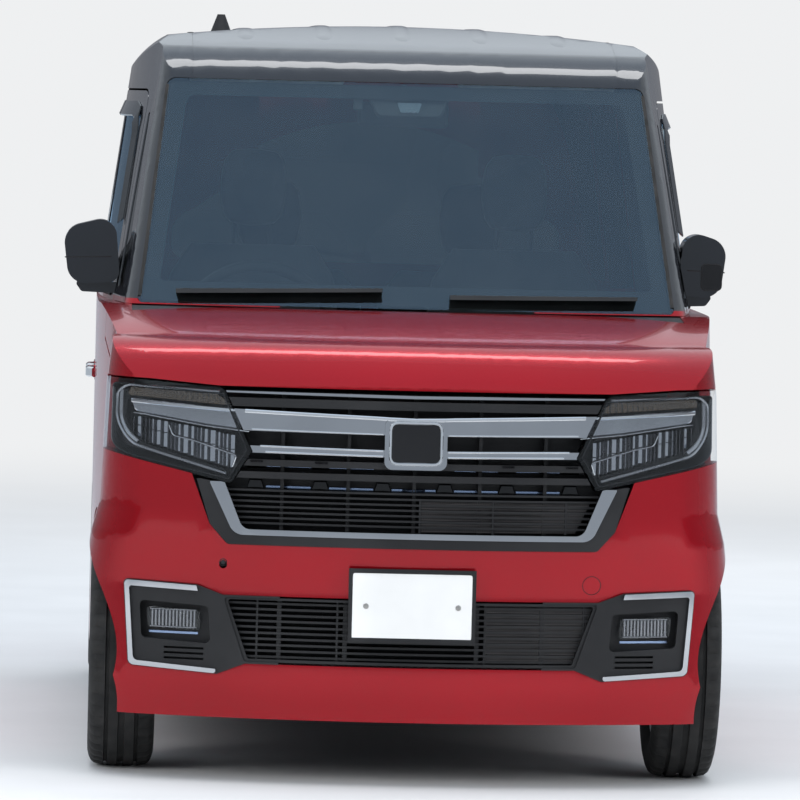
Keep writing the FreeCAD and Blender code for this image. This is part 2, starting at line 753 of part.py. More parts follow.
FRONT_DOOR = (
    (size.door_front, size.door_foot, 40),
    (size.pillar_station - size.door_gap / 2, size.door_foot, 30),
    (size.pillar_station - size.door_gap / 2, size.door_head, 30),
    (size.door_front + 224, size.door_head, 60),
    (size.door_front + 30, size.belt_height + 14, 60),
    (size.door_front, size.belt_height - 80, 60),
)
SLIDING_DOOR = (
    (size.pillar_station + size.door_gap / 2, size.door_foot, 30),
    (size.door_rear, size.door_foot, 60),
    (size.door_rear, size.door_head, 60),
    (size.pillar_station + size.door_gap / 2, size.door_head, 30),
)
FRONT_WINDOW = (
    (size.door_front + 84, size.glass_foot, 30),
    (size.pillar_station - 50, size.glass_foot, 24),
    (size.pillar_station - 50, size.glass_head, 24),
    (size.door_front + 262, size.glass_head, 30),
)
SLIDING_WINDOW = (
    (size.pillar_station + 50, size.glass_foot, 24),
    (size.door_rear - 52, size.glass_foot, 50),
    (size.door_rear - 52, size.glass_head, 50),
    (size.pillar_station + 50, size.glass_head, 24),
)
QUARTER_WINDOW = (
    (size.door_rear + 70, size.glass_foot + 6, 50),
    (size.gate_station - 70, size.glass_foot + 6, 60),
    (size.gate_station - 104, size.glass_head - 8, 60),
    (size.door_rear + 70, size.glass_head - 8, 50),
)
PILLAR_WINDOW = (
    (size.door_front - 96, size.glass_foot + 14, 10),
    (size.door_front - 4, size.glass_foot + 14, 16),
    (size.door_front + 172, size.glass_head - 8, 8),
    (size.door_front + 154, size.glass_head - 8, 4),
)


def window_cutter(outline):
    return side_prism(outline, 300, BIG)


def side_glass(outline, inset=2.0):
    """A pane let into its opening, close under the surface."""
    return panel(inset, inset + size.glass_wall, side_prism(outline, 300, BIG))


def tail_lamp_prism(gap=0.0):
    outline = [
        (size.gate_half + size.door_gap, 706 - gap), (BIG / 4, 706 - gap),
        (BIG / 4, 1126 + gap), (size.gate_half + size.door_gap, 1126 + gap),
    ]
    return front_prism(outline, size.car_length - 120 - gap, size.car_length + 60)


def gate_prism(gap=0.0):
    half = size.gate_half + gap
    corners = [(half, size.gate_foot - gap, 40), (half, BIG / 2)]
    return front_prism(symmetric(corners), size.gate_station - gap, size.car_length + 60)


def rear_bumper_zone(gap=0.0):
    seam = size.gate_foot - size.door_gap + gap
    outline = [
        (size.car_length - 230 - gap, 130), (size.car_length + 60, 130),
        (size.car_length + 60, seam), (size.car_length - 230 - gap, seam),
    ]
    return side_prism(outline, -BIG, BIG)


def make_body_side():
    """One side frame: sill, pillars, roof rail and rear quarter."""
    zone = block(300, BIG, 560, size.car_length + 60, size.sill_height, BIG / 2)
    side = panel(0, size.wall, zone)
    post_rear = size.door_front - size.hinge_gap
    shoulder = size.belt_height - 61
    cutters = [
        block(0, BIG, 0, post_rear, 0, shoulder).cut(envelope(size.panel_wall + size.seam)),
        block(0, BIG, 0, size.firewall_station, 0, shoulder),
        block(0, BIG, 0, post_rear, shoulder - 1, BIG).common(lower_body(-1)),
        roof_zone(size.seam),
        block(0, 512 + size.seam, size.gate_station - size.hinge_gap - 2, size.car_length, 1450, BIG),
        screen_prism(size.seam),
        gate_prism(size.door_gap),
        rear_bumper_zone(size.seam),
        arch_cutter(REAR_AXLE, 300, BIG),
        arch_cutter(FRONT_AXLE, 300, BIG),
        tail_lamp_prism(size.seam).cut(envelope(size.gate_wall + size.seam)),
        window_cutter(QUARTER_WINDOW),
        window_cutter(PILLAR_WINDOW),
        block(0, 606, size.gate_station - 400, size.car_length + 99, 0, size.deck_height - 2 * size.floor_depth),
    ]
    rebate = envelope(size.door_wall + size.door_gap)
    for outline in (FRONT_DOOR, SLIDING_DOOR):
        cutters.append(side_prism(grown(outline, size.door_gap), 300, BIG).cut(rebate))
        cutters.append(side_prism(grown(outline, -size.flange), 300, BIG))
    hinge_slot = block(300, BIG, post_rear, size.door_front + 60, size.door_foot - size.door_gap, shoulder)
    cutters.append(hinge_slot.cut(rebate))
    side = side.cut(cutters)
    side = max(side.Solids, key=lambda solid: solid.Volume)
    return side.fuse(hinge_leaves("front_door", "fixed"))


# Hinges. Each stands in its own frame: axis along Z, the fixed panel towards -Y, inboard towards -X
HINGE_RADIUS = 3.2
PIN_RADIUS = 1.6
BARREL = 30.0
LEAF_DEPTH = 44.0
LEAF = 2.4
Hinge = namedtuple("Hinge", "origin along across inward spots")


def hinge_axis(name):
    """Where a hinge's axis runs: a point, its direction, the way to the moving panel, and its pins."""
    gap = size.hinge_gap / 2
    if name == "front_door":
        side_x = HALF_WIDTH - FLANK_TUCK - SIDE_BULGE - HINGE_RADIUS - 0.4
        return Hinge(
            at(side_x, size.door_front - gap, 0), Vector(0, 0, 1), Vector(0, 1, 0), Vector(-1, 0, 0),
            (380.0, 860.0),
        )
    if name == "tailgate":
        points = [(roof_tail() + run, size.roof_height - drop) for run, drop in TAIL_ARC]
        height = height_on_arc(points, size.gate_station - gap) - HINGE_RADIUS - 2
        return Hinge(
            at(0, size.gate_station - gap, height), Vector(1, 0, 0), Vector(0, 1, 0), Vector(0, 0, -1),
            (-420.0, 360.0),
        )
    return Hinge(
        at(0, size.bonnet_rear + gap, size.belt_height - HINGE_RADIUS - 0.4), Vector(1, 0, 0),
        Vector(0, -1, 0), Vector(0, 0, -1), (-430.0, 370.0),
    )


def hinge_leaves(name, half):
    """The barrels and leaves of one half of a hinge; the fixed half carries the pins."""
    hinge = hinge_axis(name)
    sign = -1 if half == "fixed" else 1
    reach = size.hinge_gap / 2
    shapes = []
    for spot in hinge.spots:
        start = spot if half == "fixed" else spot + BARREL + 0.3
        base = hinge.origin + hinge.along * start
        barrel = Part.makeCylinder(HINGE_RADIUS, BARREL - 0.3, base, hinge.along)
        if half == "moving":
            bore = Part.makeCylinder(PIN_RADIUS + 0.05, BARREL + 10, base - hinge.along * 5, hinge.along)
        near = hinge.across * (sign * (reach - LEAF))
        far = hinge.across * (sign * reach)
        top = hinge.inward * 0
        corners = [base + near + top, base + far + top, base + far + hinge.inward * LEAF_DEPTH,
                   base + near + hinge.inward * LEAF_DEPTH]
        leaf = Part.Face(Part.makePolygon(corners + corners[:1])).extrude(hinge.along * (BARREL - 0.3))
        web_corners = [base, base + far, base + far + hinge.inward * HINGE_RADIUS,
                       base + hinge.inward * HINGE_RADIUS]
        web = Part.Face(Part.makePolygon(web_corners + web_corners[:1])).extrude(hinge.along * (BARREL - 0.3))
        piece = barrel.fuse(leaf).fuse(web)
        if half == "moving":
            piece = piece.cut(bore)
        else:
            pin = Part.makeCylinder(PIN_RADIUS, BARREL - 2, base + hinge.along * (BARREL - 0.3), hinge.along)
            piece = piece.fuse(pin)
        shapes.append(piece)
    return shapes[0].multiFuse(shapes[1:])


# Doors and tailgate
def make_front_door():
    door = panel(0, size.door_wall, side_prism(FRONT_DOOR, 300, BIG))
    door = door.cut(window_cutter(FRONT_WINDOW))
    handle = [(1560, 862, 14), (1700, 862, 14), (1700, 900, 14), (1560, 900, 14)]
    door = door.cut(panel(-5, 10, side_prism(handle, 300, BIG)))
    grip = [(1552, 872, 6), (1708, 872, 6), (1708, 890, 6), (1552, 890, 6)]
    door = door.fuse(panel(-3, 6, side_prism(grip, 300, BIG)))
    return door.fuse(hinge_leaves("front_door", "moving"))


def make_sliding_door():
    inner = size.door_wall + size.door_gap - 1.2 * size.seam
    door = panel(0, inner, side_prism(SLIDING_DOOR, 300, BIG))
    door = door.cut(block(0, 677.6, 1700, 2700, 1012.5, 1019.5))
    door = door.cut(block(721, BIG, 1700, 2700, 1068.5, 1073.5))
    door = door.cut(window_cutter(SLIDING_WINDOW))
    handle = [(1800, 862, 14), (1940, 862, 14), (1940, 900, 14), (1800, 900, 14)]
    door = door.cut(panel(-5, 10, side_prism(handle, 300, BIG)))
    grip = [(1792, 872, 6), (1948, 872, 6), (1948, 890, 6), (1792, 890, 6)]
    return door.fuse(panel(-3, 6, side_prism(grip, 300, BIG)))


GATE_WINDOW = ((530.0, 1118.0, 40.0), (520.0, 1560.0, 50.0))


def make_tailgate():
    gate = panel(0, size.gate_wall, gate_prism())
    gate = gate.cut(front_prism(symmetric(list(GATE_WINDOW)), size.gate_station + 20, size.car_length + 60))
    recess = [(-190, 742, 20), (190, 742, 20), (190, 932, 20), (-190, 932, 20)]
    gate = gate.cut(panel(-5, 14, front_prism(recess, size.car_length - 200, size.car_length + 60)))
    rear = size.car_length - 16 - 14
    for sign in (1, -1):
        hole = Part.makeCylinder(
            size.plate_hole, 60, at(sign * size.plate_spacing / 2, rear - 40, 840), Vector(0, 1, 0)
        )
        gate = gate.cut(hole)
    return gate.fuse(hinge_leaves("tailgate", "moving"))


def make_gate_glass():
    outline = front_prism(symmetric(list(GATE_WINDOW)), size.gate_station + 20, size.car_length + 60)
    return panel(2, 2 + size.glass_wall, outline)


def make_rear_bumper():
    bumper = panel(0, 40, rear_bumper_zone()).cut(block(-480, 480, 3000, BIG, 0, 222))
    for sign in (1, -1):
        low, high = sorted((sign * 300, sign * BIG))
        bumper = bumper.cut(arch_cutter(REAR_AXLE, low, high))
    return bumper


def make_mirror(inner, outer):
    """A left door mirror between two offsets: its housing on an arm from the door's front upper corner."""
    station = size.door_front + 60
    low, high = 1112.0, 1268.0
    body = [(inner, low + 4, 26), (outer - 17, low - 4, 44), (outer, high - 26, 46), (inner + 14, high + 6, 40)]
    housing = front_prism(body, station - 62, station + 36)
    housing = housing.cut(front_prism(grown(body, -9), station + 22, station + 60))
    reach = outer - 47
    bar = [(640, 1086, 6), (reach, 1090, 10), (reach + 20, 1118, 8), (640, 1112, 6)]
    whole = housing.fuse(front_prism(bar, station - 30, station + 26))
    return whole.cut(envelope(-0.3))


# The strut's two ends beside the knuckle's top, given for the left side
KNUCKLE_TOP = AXLE_HEIGHT + 122.3
STRUT_FOOT = Vector(534, 0, 412)
STRUT_TOP = Vector(440, 0, 715)
SPRING_RADIUS = 46


# The arch liners' inner walls, the rear arms' two sides and the front rails' top
LINER_INNER = 402
REAR_LINER_INNER = 512
ARM_LOW = 524
ARM_HIGH = 562
RAIL_TOP = 290


# Cabin and load space
def make_floor():
    """The floor with its tunnel and heel board, the firewall and the front rails."""
    depth = size.floor_depth
    top = size.floor_height
    rear = size.car_length - 60
    inner = size.wall + size.seam
    step = size.rear_step
    deck = size.deck_height
    pans = [
        block(-BIG, BIG, size.firewall_station, step + 20, top - depth, top),
        block(-BIG, BIG, step, step + 20, top - depth, deck),
        block(-BIG, BIG, step, rear, deck - depth, deck),
    ]
    pan = pans[0].multiFuse(pans[1:])
    for sign in (1, -1):
        low, high = sorted((sign * (REAR_LINER_INNER - size.seam), sign * BIG))
        radius = size.arch_radius + 4 + size.liner_wall + size.seam
        pan = pan.cut(arch_cutter(REAR_AXLE, low, high, radius))
    pan = fill(inner, pan)
    wall = fill(inner, block(-BIG, BIG, size.firewall_station, size.firewall_station + 12, top - depth,
                             size.belt_height - 120))
    tunnel = block(-110, 110, size.firewall_station, 2000, top - 2, top + 60)
    rails = []
    for sign in (1, -1):
        low, high = sorted((sign * 336, sign * 390))
        rails.append(block(low, high, 130, size.firewall_station + 5, 198, RAIL_TOP))
    beam = block(-400, 400, 130, 160, 200, 239.7)
    return pan.multiFuse([wall, tunnel, beam] + rails)


def arch_liner(station, x_low, x_high):
    """The shell over a wheel, open to the outside and below."""
    outer = size.arch_radius + 4 + size.liner_wall
    shell = arch_cutter(station, x_low, x_high, outer)
    shell = shell.cut(arch_cutter(station, x_low + size.liner_wall, x_high + 10, outer - size.liner_wall))
    return shell.cut(block(-BIG, BIG, -500, BIG, -BIG, AXLE_HEIGHT - 120))


def make_arch_liners():
    """Four shells; the front ones are open for the arm, the strut and the drive to the wheel."""
    front = fill(size.panel_wall + 0.5, arch_liner(FRONT_AXLE, LINER_INNER, BIG / 4))
    foot = at(STRUT_FOOT.x, FRONT_AXLE, STRUT_FOOT.z)
    top = at(STRUT_TOP.x, FRONT_AXLE, STRUT_TOP.z)
    front = front.cut([
        block(-BIG, BIG, size.firewall_station - 0.4, BIG, 0, BIG),
        block(LINER_INNER - 10, LINER_INNER + 20, FRONT_AXLE - 50, FRONT_AXLE + 190, 0, 300),
        block(LINER_INNER - 10, BIG, -BIG, 190, 0, 470),
        Part.makeCylinder(SPRING_RADIUS + 8, foot.distanceToPoint(top), foot, top - foot),
    ])
    rear = fill(size.wall + 0.5, arch_liner(REAR_AXLE, REAR_LINER_INNER, BIG / 4))
    rear = rear.cut(block(ARM_LOW - 8, ARM_HIGH + 8, REAR_AXLE - 400, REAR_AXLE - 200, 0, AXLE_HEIGHT + 44))
    rear = rear.cut(block(REAR_LINER_INNER - 9, ARM_LOW, REAR_AXLE - 280, REAR_AXLE + 60, 0, AXLE_HEIGHT + 44))
    return Part.makeCompound([both(front), both(rear)])


def make_dashboard():
    outline = [
        (size.firewall_station + 12.4, 640), (1060, 640, 30), (1150, 760, 40), (1150, 930, 40), (1060, 985, 40),
        (860, 1012, 20), (size.firewall_station + 12.4, 1004),
    ]
    dash = fill(size.wall + 1.5, side_prism(outline, -BIG, BIG))
    hood = side_prism([(1000, 960, 4), (1130, 940, 10), (1135, 1010, 20), (1010, 1030, 20)],
                      -size.seat_offset - 150, -size.seat_offset + 150)
    column = steering_column()
    return dash.fuse(hood).fuse(column)


STEER_CENTRE = (-size.seat_offset, 1330.0, 985.0)
STEER_TILT = 24.0


def steering_direction():
    tilt = math.radians(STEER_TILT)
    return Vector(0, -math.cos(tilt), -math.sin(tilt))


def steering_column():
    """The fixed column cover under the steering wheel."""
    centre = at(*STEER_CENTRE)
    way = steering_direction()
    return Part.makeCylinder(30, 190, centre + way * 45, way)


def seat_shape(width, depth, cushion_z, back_top, head_top, lean, with_heads):
    """One seat from its side profile: cushion, back and head restraints, at station 0."""
    half = width / 2
    cushion = side_prism([(0, cushion_z - 130, 30), (depth, cushion_z - 130, 10), (depth + 30, cushion_z - 10, 10),
                          (20, cushion_z + 20, 45)], -half, half)
    rise = back_top - cushion_z
    back = side_prism([(depth - 60, cushion_z - 120, 20), (depth + 50, cushion_z - 120, 20),
                       (depth + 60 + rise * lean, back_top, 40), (depth - 20 + rise * lean, back_top, 30)],
                      -half, half)
    shape = cushion.fuse(back)
    for x in with_heads:
        top_run = (back_top - cushion_z) * lean
        head = side_prism([(depth - 12 + top_run, back_top + 24, 24), (depth + 60 + top_run, back_top + 24, 24),
                           (depth + 84 + top_run, head_top, 34), (depth + 8 + top_run, head_top, 34)],
                          x - 85, x + 85)
        stalks = [
            Part.makeCylinder(6, 60, at(x + dx, depth + 26 + top_run, back_top - 25), Vector(0, 0.12, 1))
            for dx in (-45, 45)
        ]
        shape = shape.multiFuse([head] + stalks)
    return shape


def make_front_seats():
    seat = seat_shape(480, 500, 640, 1210, 1436, 0.20, (0.0,))
    base = block(-190, 190, 60, 440, size.floor_height + 0.4, 520)
    seat = seat.fuse(base)
    seats = []
    for sign in (1, -1):
        copy = seat.copy()
        copy.translate(Vector(sign * size.seat_offset, size.seat_station, 0))
        seats.append(copy)
    return Part.makeCompound(seats)


def make_rear_seat():
    bench = seat_shape(1000, 460, 590, 1130, 1340, 0.16, (-270.0, 270.0))
    base = block(-490, 490, 20, 440, size.deck_height + 0.3, 480)
    bench = bench.fuse(base)
    bench.translate(Vector(0, size.bench_station, 0))
    return bench


# Running gear
def make_suspension():
    """Subframe, lower arms and leaning struts of the front axle; the knuckles turn between them."""
    z = AXLE_HEIGHT
    frame = block(-300, 300, FRONT_AXLE + 20, FRONT_AXLE + 210, 168, 214)
    rack = Part.makeCylinder(24, 600, at(-300, FRONT_AXLE + 170, 233), Vector(1, 0, 0))
    parts = [frame, rack]
    for sign in (1, -1):
        ball_x = sign * size.kingpin_offset
        arm = Part.makeLoft([
            arm_section(sign * 290, FRONT_AXLE + 30, FRONT_AXLE + 170, 172, 196),
            arm_section(ball_x, FRONT_AXLE - 16, FRONT_AXLE + 16, 146, 162),
        ], True, True)
        boss = Part.makeCylinder(20, 18, at(ball_x, FRONT_AXLE, z - 128), Vector(0, 0, 1))
        seat = Part.makeCylinder(22, STRUT_FOOT.z + 12 - KNUCKLE_TOP, at(ball_x, FRONT_AXLE, KNUCKLE_TOP + 0.3))
        low, high = sorted((ball_x, sign * STRUT_FOOT.x))
        link = block(low, high, FRONT_AXLE - 16, FRONT_AXLE + 16, KNUCKLE_TOP + 0.3, STRUT_FOOT.z + 12.3)
        foot = at(sign * STRUT_FOOT.x, FRONT_AXLE, STRUT_FOOT.z)
        top = at(sign * STRUT_TOP.x, FRONT_AXLE, STRUT_TOP.z)
        lean = (top - foot).normalize()
        strut = Part.makeCylinder(18, foot.distanceToPoint(top), foot, lean)
        spring = Part.makeCylinder(SPRING_RADIUS, 140, top - lean * 140, lean)
        low, high = sorted((sign * 340, sign * 500))
        bracket = block(low, high, FRONT_AXLE - 60, FRONT_AXLE + 60, STRUT_TOP.z - 6, STRUT_TOP.z + 14)
        low, high = sorted((sign * 340, sign * 368))
        leg = block(low, high, FRONT_AXLE - 60, FRONT_AXLE + 60, RAIL_TOP + 0.2, STRUT_TOP.z)
        parts += [arm, boss, seat, link, strut, spring, bracket, leg]
    return parts[0].multiFuse(parts[1:])


def arm_section(x, s_low, s_high, z_low, z_high):
    return Part.makePolygon([at(x, s_low, z_low), at(x, s_high, z_low), at(x, s_high, z_high),
                             at(x, s_low, z_high), at(x, s_low, z_low)])


def make_knuckle(sign):
    """A steering knuckle on its upright axis, with the spindle that carries the wheel."""
    pin_x = sign * size.kingpin_offset
    z = AXLE_HEIGHT
    foot_z = z - 109.7
    upright = Part.makeCylinder(22, KNUCKLE_TOP - foot_z, at(pin_x, FRONT_AXLE, foot_z), Vector(0, 0, 1))
    spindle_end = size.track / 2 + HUB_OUT
    spindle = Part.makeCylinder(
        size.stub_radius, spindle_end - abs(pin_x), at(pin_x, FRONT_AXLE, z), Vector(sign, 0, 0)
    )
    shoulder = Part.makeCylinder(
        36, size.track / 2 + HUB_IN - 0.3 - abs(pin_x) - 10, at(pin_x + sign * 10, FRONT_AXLE, z), Vector(sign, 0, 0)
    )
    low, high = sorted((pin_x, pin_x - sign * 24))
    arm = block(low, high, FRONT_AXLE, FRONT_AXLE + 118, z - 40, z - 16)
    caliper = Part.makeCylinder(size.brake_radius + 14, 44, at(sign * (size.track / 2 + DISC_IN - 18), FRONT_AXLE, z),
                                Vector(sign, 0, 0))
    caliper = caliper.cut(Part.makeCylinder(
        size.brake_radius - 34, 60, at(sign * (size.track / 2 + DISC_IN - 20), FRONT_AXLE, z), Vector(sign, 0, 0)))
    slot = Part.makeCylinder(size.brake_radius + 6, 22, at(sign * (size.track / 2 + DISC_IN - 6), FRONT_AXLE, z),
                             Vector(sign, 0, 0))
    wedge = block(-BIG, BIG, FRONT_AXLE + 20, FRONT_AXLE + 200, z - 52, z + 52)
    caliper = caliper.cut(slot).common(wedge)
    mount_low, mount_high = sorted((pin_x, sign * (size.track / 2 + DISC_IN - 12)))
    mount = block(mount_low, mount_high, FRONT_AXLE + 10, FRONT_AXLE + 96, z - 14, z + 14)
    return upright.multiFuse([spindle, shoulder, arm, caliper, mount]).removeSplitter()


# Where the wheel's hub lies from the tyre's middle plane, positive outwards
HUB_IN = -34.0
HUB_OUT = 34.0
DISC_IN = -34.0


def make_rear_axle():
    """The twist beam with its trailing arms and the two rear spindles."""
    z = AXLE_HEIGHT
    foot = z - 58
    front = REAR_AXLE - 250
    beam = side_prism([(front, foot, 6), (front + 60, foot, 6), (front + 60, foot + 54, 6), (front, foot + 54, 6)],
                      -ARM_LOW - 6, ARM_LOW + 6)
    beam = beam.cut(side_prism([(front + 8, foot + 8, 4), (front + 80, foot + 8, 4), (front + 80, foot + 44, 4),
                                (front + 8, foot + 44, 4)], -ARM_LOW - 9, ARM_LOW + 9))
    parts = [beam]
    for sign in (1, -1):
        low, high = sorted((sign * ARM_LOW, sign * ARM_HIGH))
        arm = side_prism([
            (REAR_AXLE - 440, foot, 8), (REAR_AXLE + 40, z - 32, 24), (REAR_AXLE + 40, z + 32, 24),
            (REAR_AXLE - 440, foot + 54, 8),
        ], low, high)
        middle = sign * (ARM_LOW + ARM_HIGH) / 2
        bush = Part.makeCylinder(26, 70, at(middle - 35, REAR_AXLE - 430, foot + 30), Vector(1, 0, 0))
        bracket = block(middle - 31, middle + 31, REAR_AXLE - 452, REAR_AXLE - 408, foot + 30,
                        size.deck_height - size.floor_depth - 0.3)
        spindle = Part.makeCylinder(
            size.stub_radius, size.track / 2 + HUB_OUT - 530, at(sign * 530, REAR_AXLE, z), Vector(sign, 0, 0)
        )
        shoulder = Part.makeCylinder(
            34, size.track / 2 + HUB_IN - 0.3 - 530, at(sign * 530, REAR_AXLE, z), Vector(sign, 0, 0)
        )
        parts += [arm, bush, bracket, spindle, shoulder]
    return parts[0].multiFuse(parts[1:])


def plane_of(body, role):
    """One of a body's own origin planes."""
    return next(plane for plane in body.Origin.OriginFeatures if plane.Role == role)


def new_body(label):
    body = doc.addObject("PartDesign::Body", label)
    body.Label = label
    nodes.append(body)
    return body


def bound_sketch(body, name, role, corners, closed=True):
    """A sketch of straight lines whose every corner is bound to the sheet by two expressions."""
    sketch = body.newObject("Sketcher::SketchObject", name)
    sketch.AttachmentSupport = (plane_of(body, role), [""])
    sketch.MapMode = "FlatFace"
    spots = [
        Vector(sheet.evalExpression(u), sheet.evalExpression(v), 0)
        for u, v in corners
    ]
    count = len(spots)
    last = count if closed else count - 1
    for index in range(last):
        sketch.addGeometry(Part.LineSegment(spots[index], spots[(index + 1) % count]))
    for index in range(last if closed else last - 1):
        sketch.addConstraint(Sketcher.Constraint("Coincident", index, 2, (index + 1) % count, 1))
    for index, (u, v) in enumerate(corners):
        geometry, end = (index, 1) if index < last else (index - 1, 2)
        for kind, value, text in (("DistanceX", spots[index].x, u), ("DistanceY", spots[index].y, v)):
            number = sketch.addConstraint(Sketcher.Constraint(kind, -1, 1, geometry, end, value))
            sketch.setExpression(f"Constraints[{number}]", text)
    return sketch


def revolve_feature(body, name, sketch, axis="H_Axis"):
    feature = body.newObject("PartDesign::Revolution", name)
    feature.Profile = sketch
    feature.ReferenceAxis = (sketch, [axis])
    feature.Angle = 360
    sketch.Visibility = False
    return feature


def place_body(body, x_text, station_text, z_text, turned):
    """Puts a body by expressions; turned half round where it is the right-hand one."""
    body.setExpression("Placement.Base.x", x_text)
    body.setExpression("Placement.Base.y", f"{station_text} - dims.car_length / 2")
    body.setExpression("Placement.Base.z", z_text)
    body.Placement.Rotation = Rotation(Vector(0, 0, 1), 180 if turned else 0)


def make_tyre(label, sign, station_text):
    """A tyre as the turned section of its carcass; u runs outwards, v is the radius."""
    body = new_body(label)
    w = "dims.tyre_width / 2"
    r = "dims.tyre_radius"
    bead = "dims.bead_radius"
    half_rim = "dims.rim_width / 2"
    corners = [
        (f"-({half_rim} - 1.4)", bead), (f"-({half_rim} - 0.4)", f"{bead} + 9.6"), (f"-({w})", f"{bead} + 44"), (f"-({w} - 5)", f"{r} - 16"),
        (f"-({w} - 22)", r), (f"{w} - 22", r), (f"{w} - 5", f"{r} - 16"), (w, f"{bead} + 44"),
        (f"{half_rim} - 0.4", f"{bead} + 9.6"), (f"{half_rim} - 1.4", bead), (f"{half_rim} - 13", bead),
        (f"{w} - 12", f"{r} - 20"),
        (f"-({w} - 12)", f"{r} - 20"), (f"-({half_rim} - 13)", bead),
    ]
    sketch = bound_sketch(body, f"{label}_section", "XZ_Plane", corners)
    body.Tip = revolve_feature(body, f"{label}_ring", sketch)
    x_text = "dims.track / 2" if sign > 0 else "-dims.track / 2"
    place_body(body, x_text, station_text, "dims.tyre_radius", sign < 0)
    return body


def make_rim(label, sign, station_text):
    """A cast wheel: barrel, disc and hub in one turned section, then the windows between its spokes."""
    body = new_body(label)
    bead = "dims.bead_radius"
    half = "dims.rim_width / 2"
    wall = "dims.rim_wall"
    bore = "dims.stub_radius + dims.stub_clearance"
    corners = [
        (f"-({half} + 4)", f"{bead} + 9"), (f"-({half})", f"{bead} + 9"), (f"-({half} - 1)", f"{bead} - 0.02"),
        (f"-({half} - 20)", f"{bead} - 0.02"), (f"{half} - 20", f"{bead} - 0.02"),
        (f"{half} - 1", f"{bead} - 0.02"), (half, f"{bead} + 9"), (f"{half} + 4", f"{bead} + 9"),
        (f"{half} - 4", f"{bead} - 14"), ("34", "60"), ("34", bore), ("-34", bore), ("-34", "58"),
        ("12", "66"), (f"{half} - 26", f"{bead} - 18"), (f"{half} - 34", f"{bead} - {wall}"),
        (f"-({half} + 1)", f"{bead} - {wall}"),
    ]
    sketch = bound_sketch(body, f"{label}_section", "XZ_Plane", corners)
    turned = revolve_feature(body, f"{label}_turned", sketch)
    doc.recompute()
    window = bound_sketch(body, f"{label}_window", "YZ_Plane", [
        ("-18", "78"), ("18", "78"), (f"40", f"{bead} - 40"), (f"26", f"{bead} - 28"),
        (f"-26", f"{bead} - 28"), (f"-40", f"{bead} - 40"),
    ])
    pocket = body.newObject("PartDesign::Pocket", f"{label}_pocket")
    pocket.Profile = window
    pocket.Type = "Length"
    pocket.Length = 200
    pocket.Midplane = True
    doc.recompute()
    pattern = body.newObject("PartDesign::PolarPattern", f"{label}_windows")
    pattern.Originals = [pocket]
    pattern.Axis = (sketch, ["H_Axis"])
    pattern.Angle = 360
    pattern.setExpression("Occurrences", "dims.spoke_count")
    body.Tip = pattern
    doc.recompute()
    disc = bound_sketch(body, f"{label}_disc_section", "XZ_Plane", [
        ("-34", "50"), ("-34", "dims.brake_radius"), ("-24", "dims.brake_radius"), ("-24", "50"),
    ])
    brake = revolve_feature(body, f"{label}_disc", disc)
    body.Tip = brake
    x_text = "dims.track / 2" if sign > 0 else "-dims.track / 2"
    place_body(body, x_text, station_text, "dims.tyre_radius", sign < 0)
    return body


def make_engine():
    """The engine and gearbox as one plain block, at their place ahead of the firewall."""
    engine = doc.addObject("Part::Box", "engine_block")
    engine.Label = "engine_block"
    engine.Length = 600
    engine.Width = 380
    engine.Height = 450
    engine.Placement = Placement(at(-300, FRONT_AXLE - 80, 257.3), Rotation())
    engine.setExpression("Placement.Base.y", "dims.front_overhang - 80 - dims.car_length / 2")
    nodes.append(engine)


def make_fuel_tank():
    """The flat tank under the front seats."""
    body = new_body("fuel_tank")
    sketch = bound_sketch(body, "tank_plan", "XY_Plane", [
        ("-330", "0"), ("330", "0"), ("330", "520"), ("-330", "520"),
    ])
    pad = body.newObject("PartDesign::Pad", "tank_pad")
    pad.Profile = sketch
    pad.Length = 46
    doc.recompute()
    round_off = body.newObject("PartDesign::Fillet", "tank_edges")
    names = [f"Edge{i}" for i, edge in enumerate(pad.Shape.Edges, start=1)
             if abs(edge.tangentAt(edge.FirstParameter).z) > 0.9]
    round_off.Base = (pad, names)
    round_off.Radius = 40
    body.Tip = round_off
    body.setExpression("Placement.Base.y", "1450 - dims.car_length / 2")
    body.setExpression("Placement.Base.z", "dims.floor_height - dims.floor_depth - 46")


def make_exhaust():
    """The pipe under the floor and the silencer at the rear."""
    radius = 21.0
    pan_foot = size.floor_height - size.floor_depth
    z = pan_foot - radius - 6
    route = [at(400, 830, z), at(400, 2950, z), at(330, 3050, z + 30)]
    pipes = []
    for start, end in zip(route, route[1:]):
        pipes.append(Part.makeCylinder(radius, (end - start).Length, start, end - start))
        pipes.append(Part.makeSphere(radius, end))
    muffler = plan_prism([(-60, 3040, 40), (430, 3040, 40), (430, 3230, 40), (-60, 3230, 40)], 150, 262)
    tail = Part.makeCylinder(18, 160, at(380, 3200, 190), Vector(0, 1, -0.06))
    hangers = [block(398, 402, s, s + 20, z, pan_foot - 0.3) for s in (1200, 2100)]
    hangers.append(block(180, 186, 3100, 3130, 240, size.deck_height - size.floor_depth - 0.3))
    return pipes[0].multiFuse(pipes[1:] + [muffler, tail] + hangers)


def make_steering_wheel():
    """Ring, spokes and boss, turned to the column's slope."""
    ring = Part.makeTorus(size.steering_radius, size.steering_grip)
    boss = Part.makeCylinder(58, 34, Vector(0, 0, -14))
    spokes = []
    for angle in (0, 90, 180):
        spoke = Part.makeBox(size.steering_radius - 50, 34, 14, Vector(50, -17, -7))
        spoke.rotate(Vector(0, 0, 0), Vector(0, 0, 1), angle)
        spokes.append(spoke)
    hub = Part.makeCylinder(26, 44.7 - 14, Vector(0, 0, -44.7))
    wheel = ring.multiFuse([boss, hub] + spokes)
    turn = Rotation(Vector(1, 0, 0), STEER_TILT - 90)
    wheel.Placement = Placement(at(*STEER_CENTRE), turn)
    return wheel


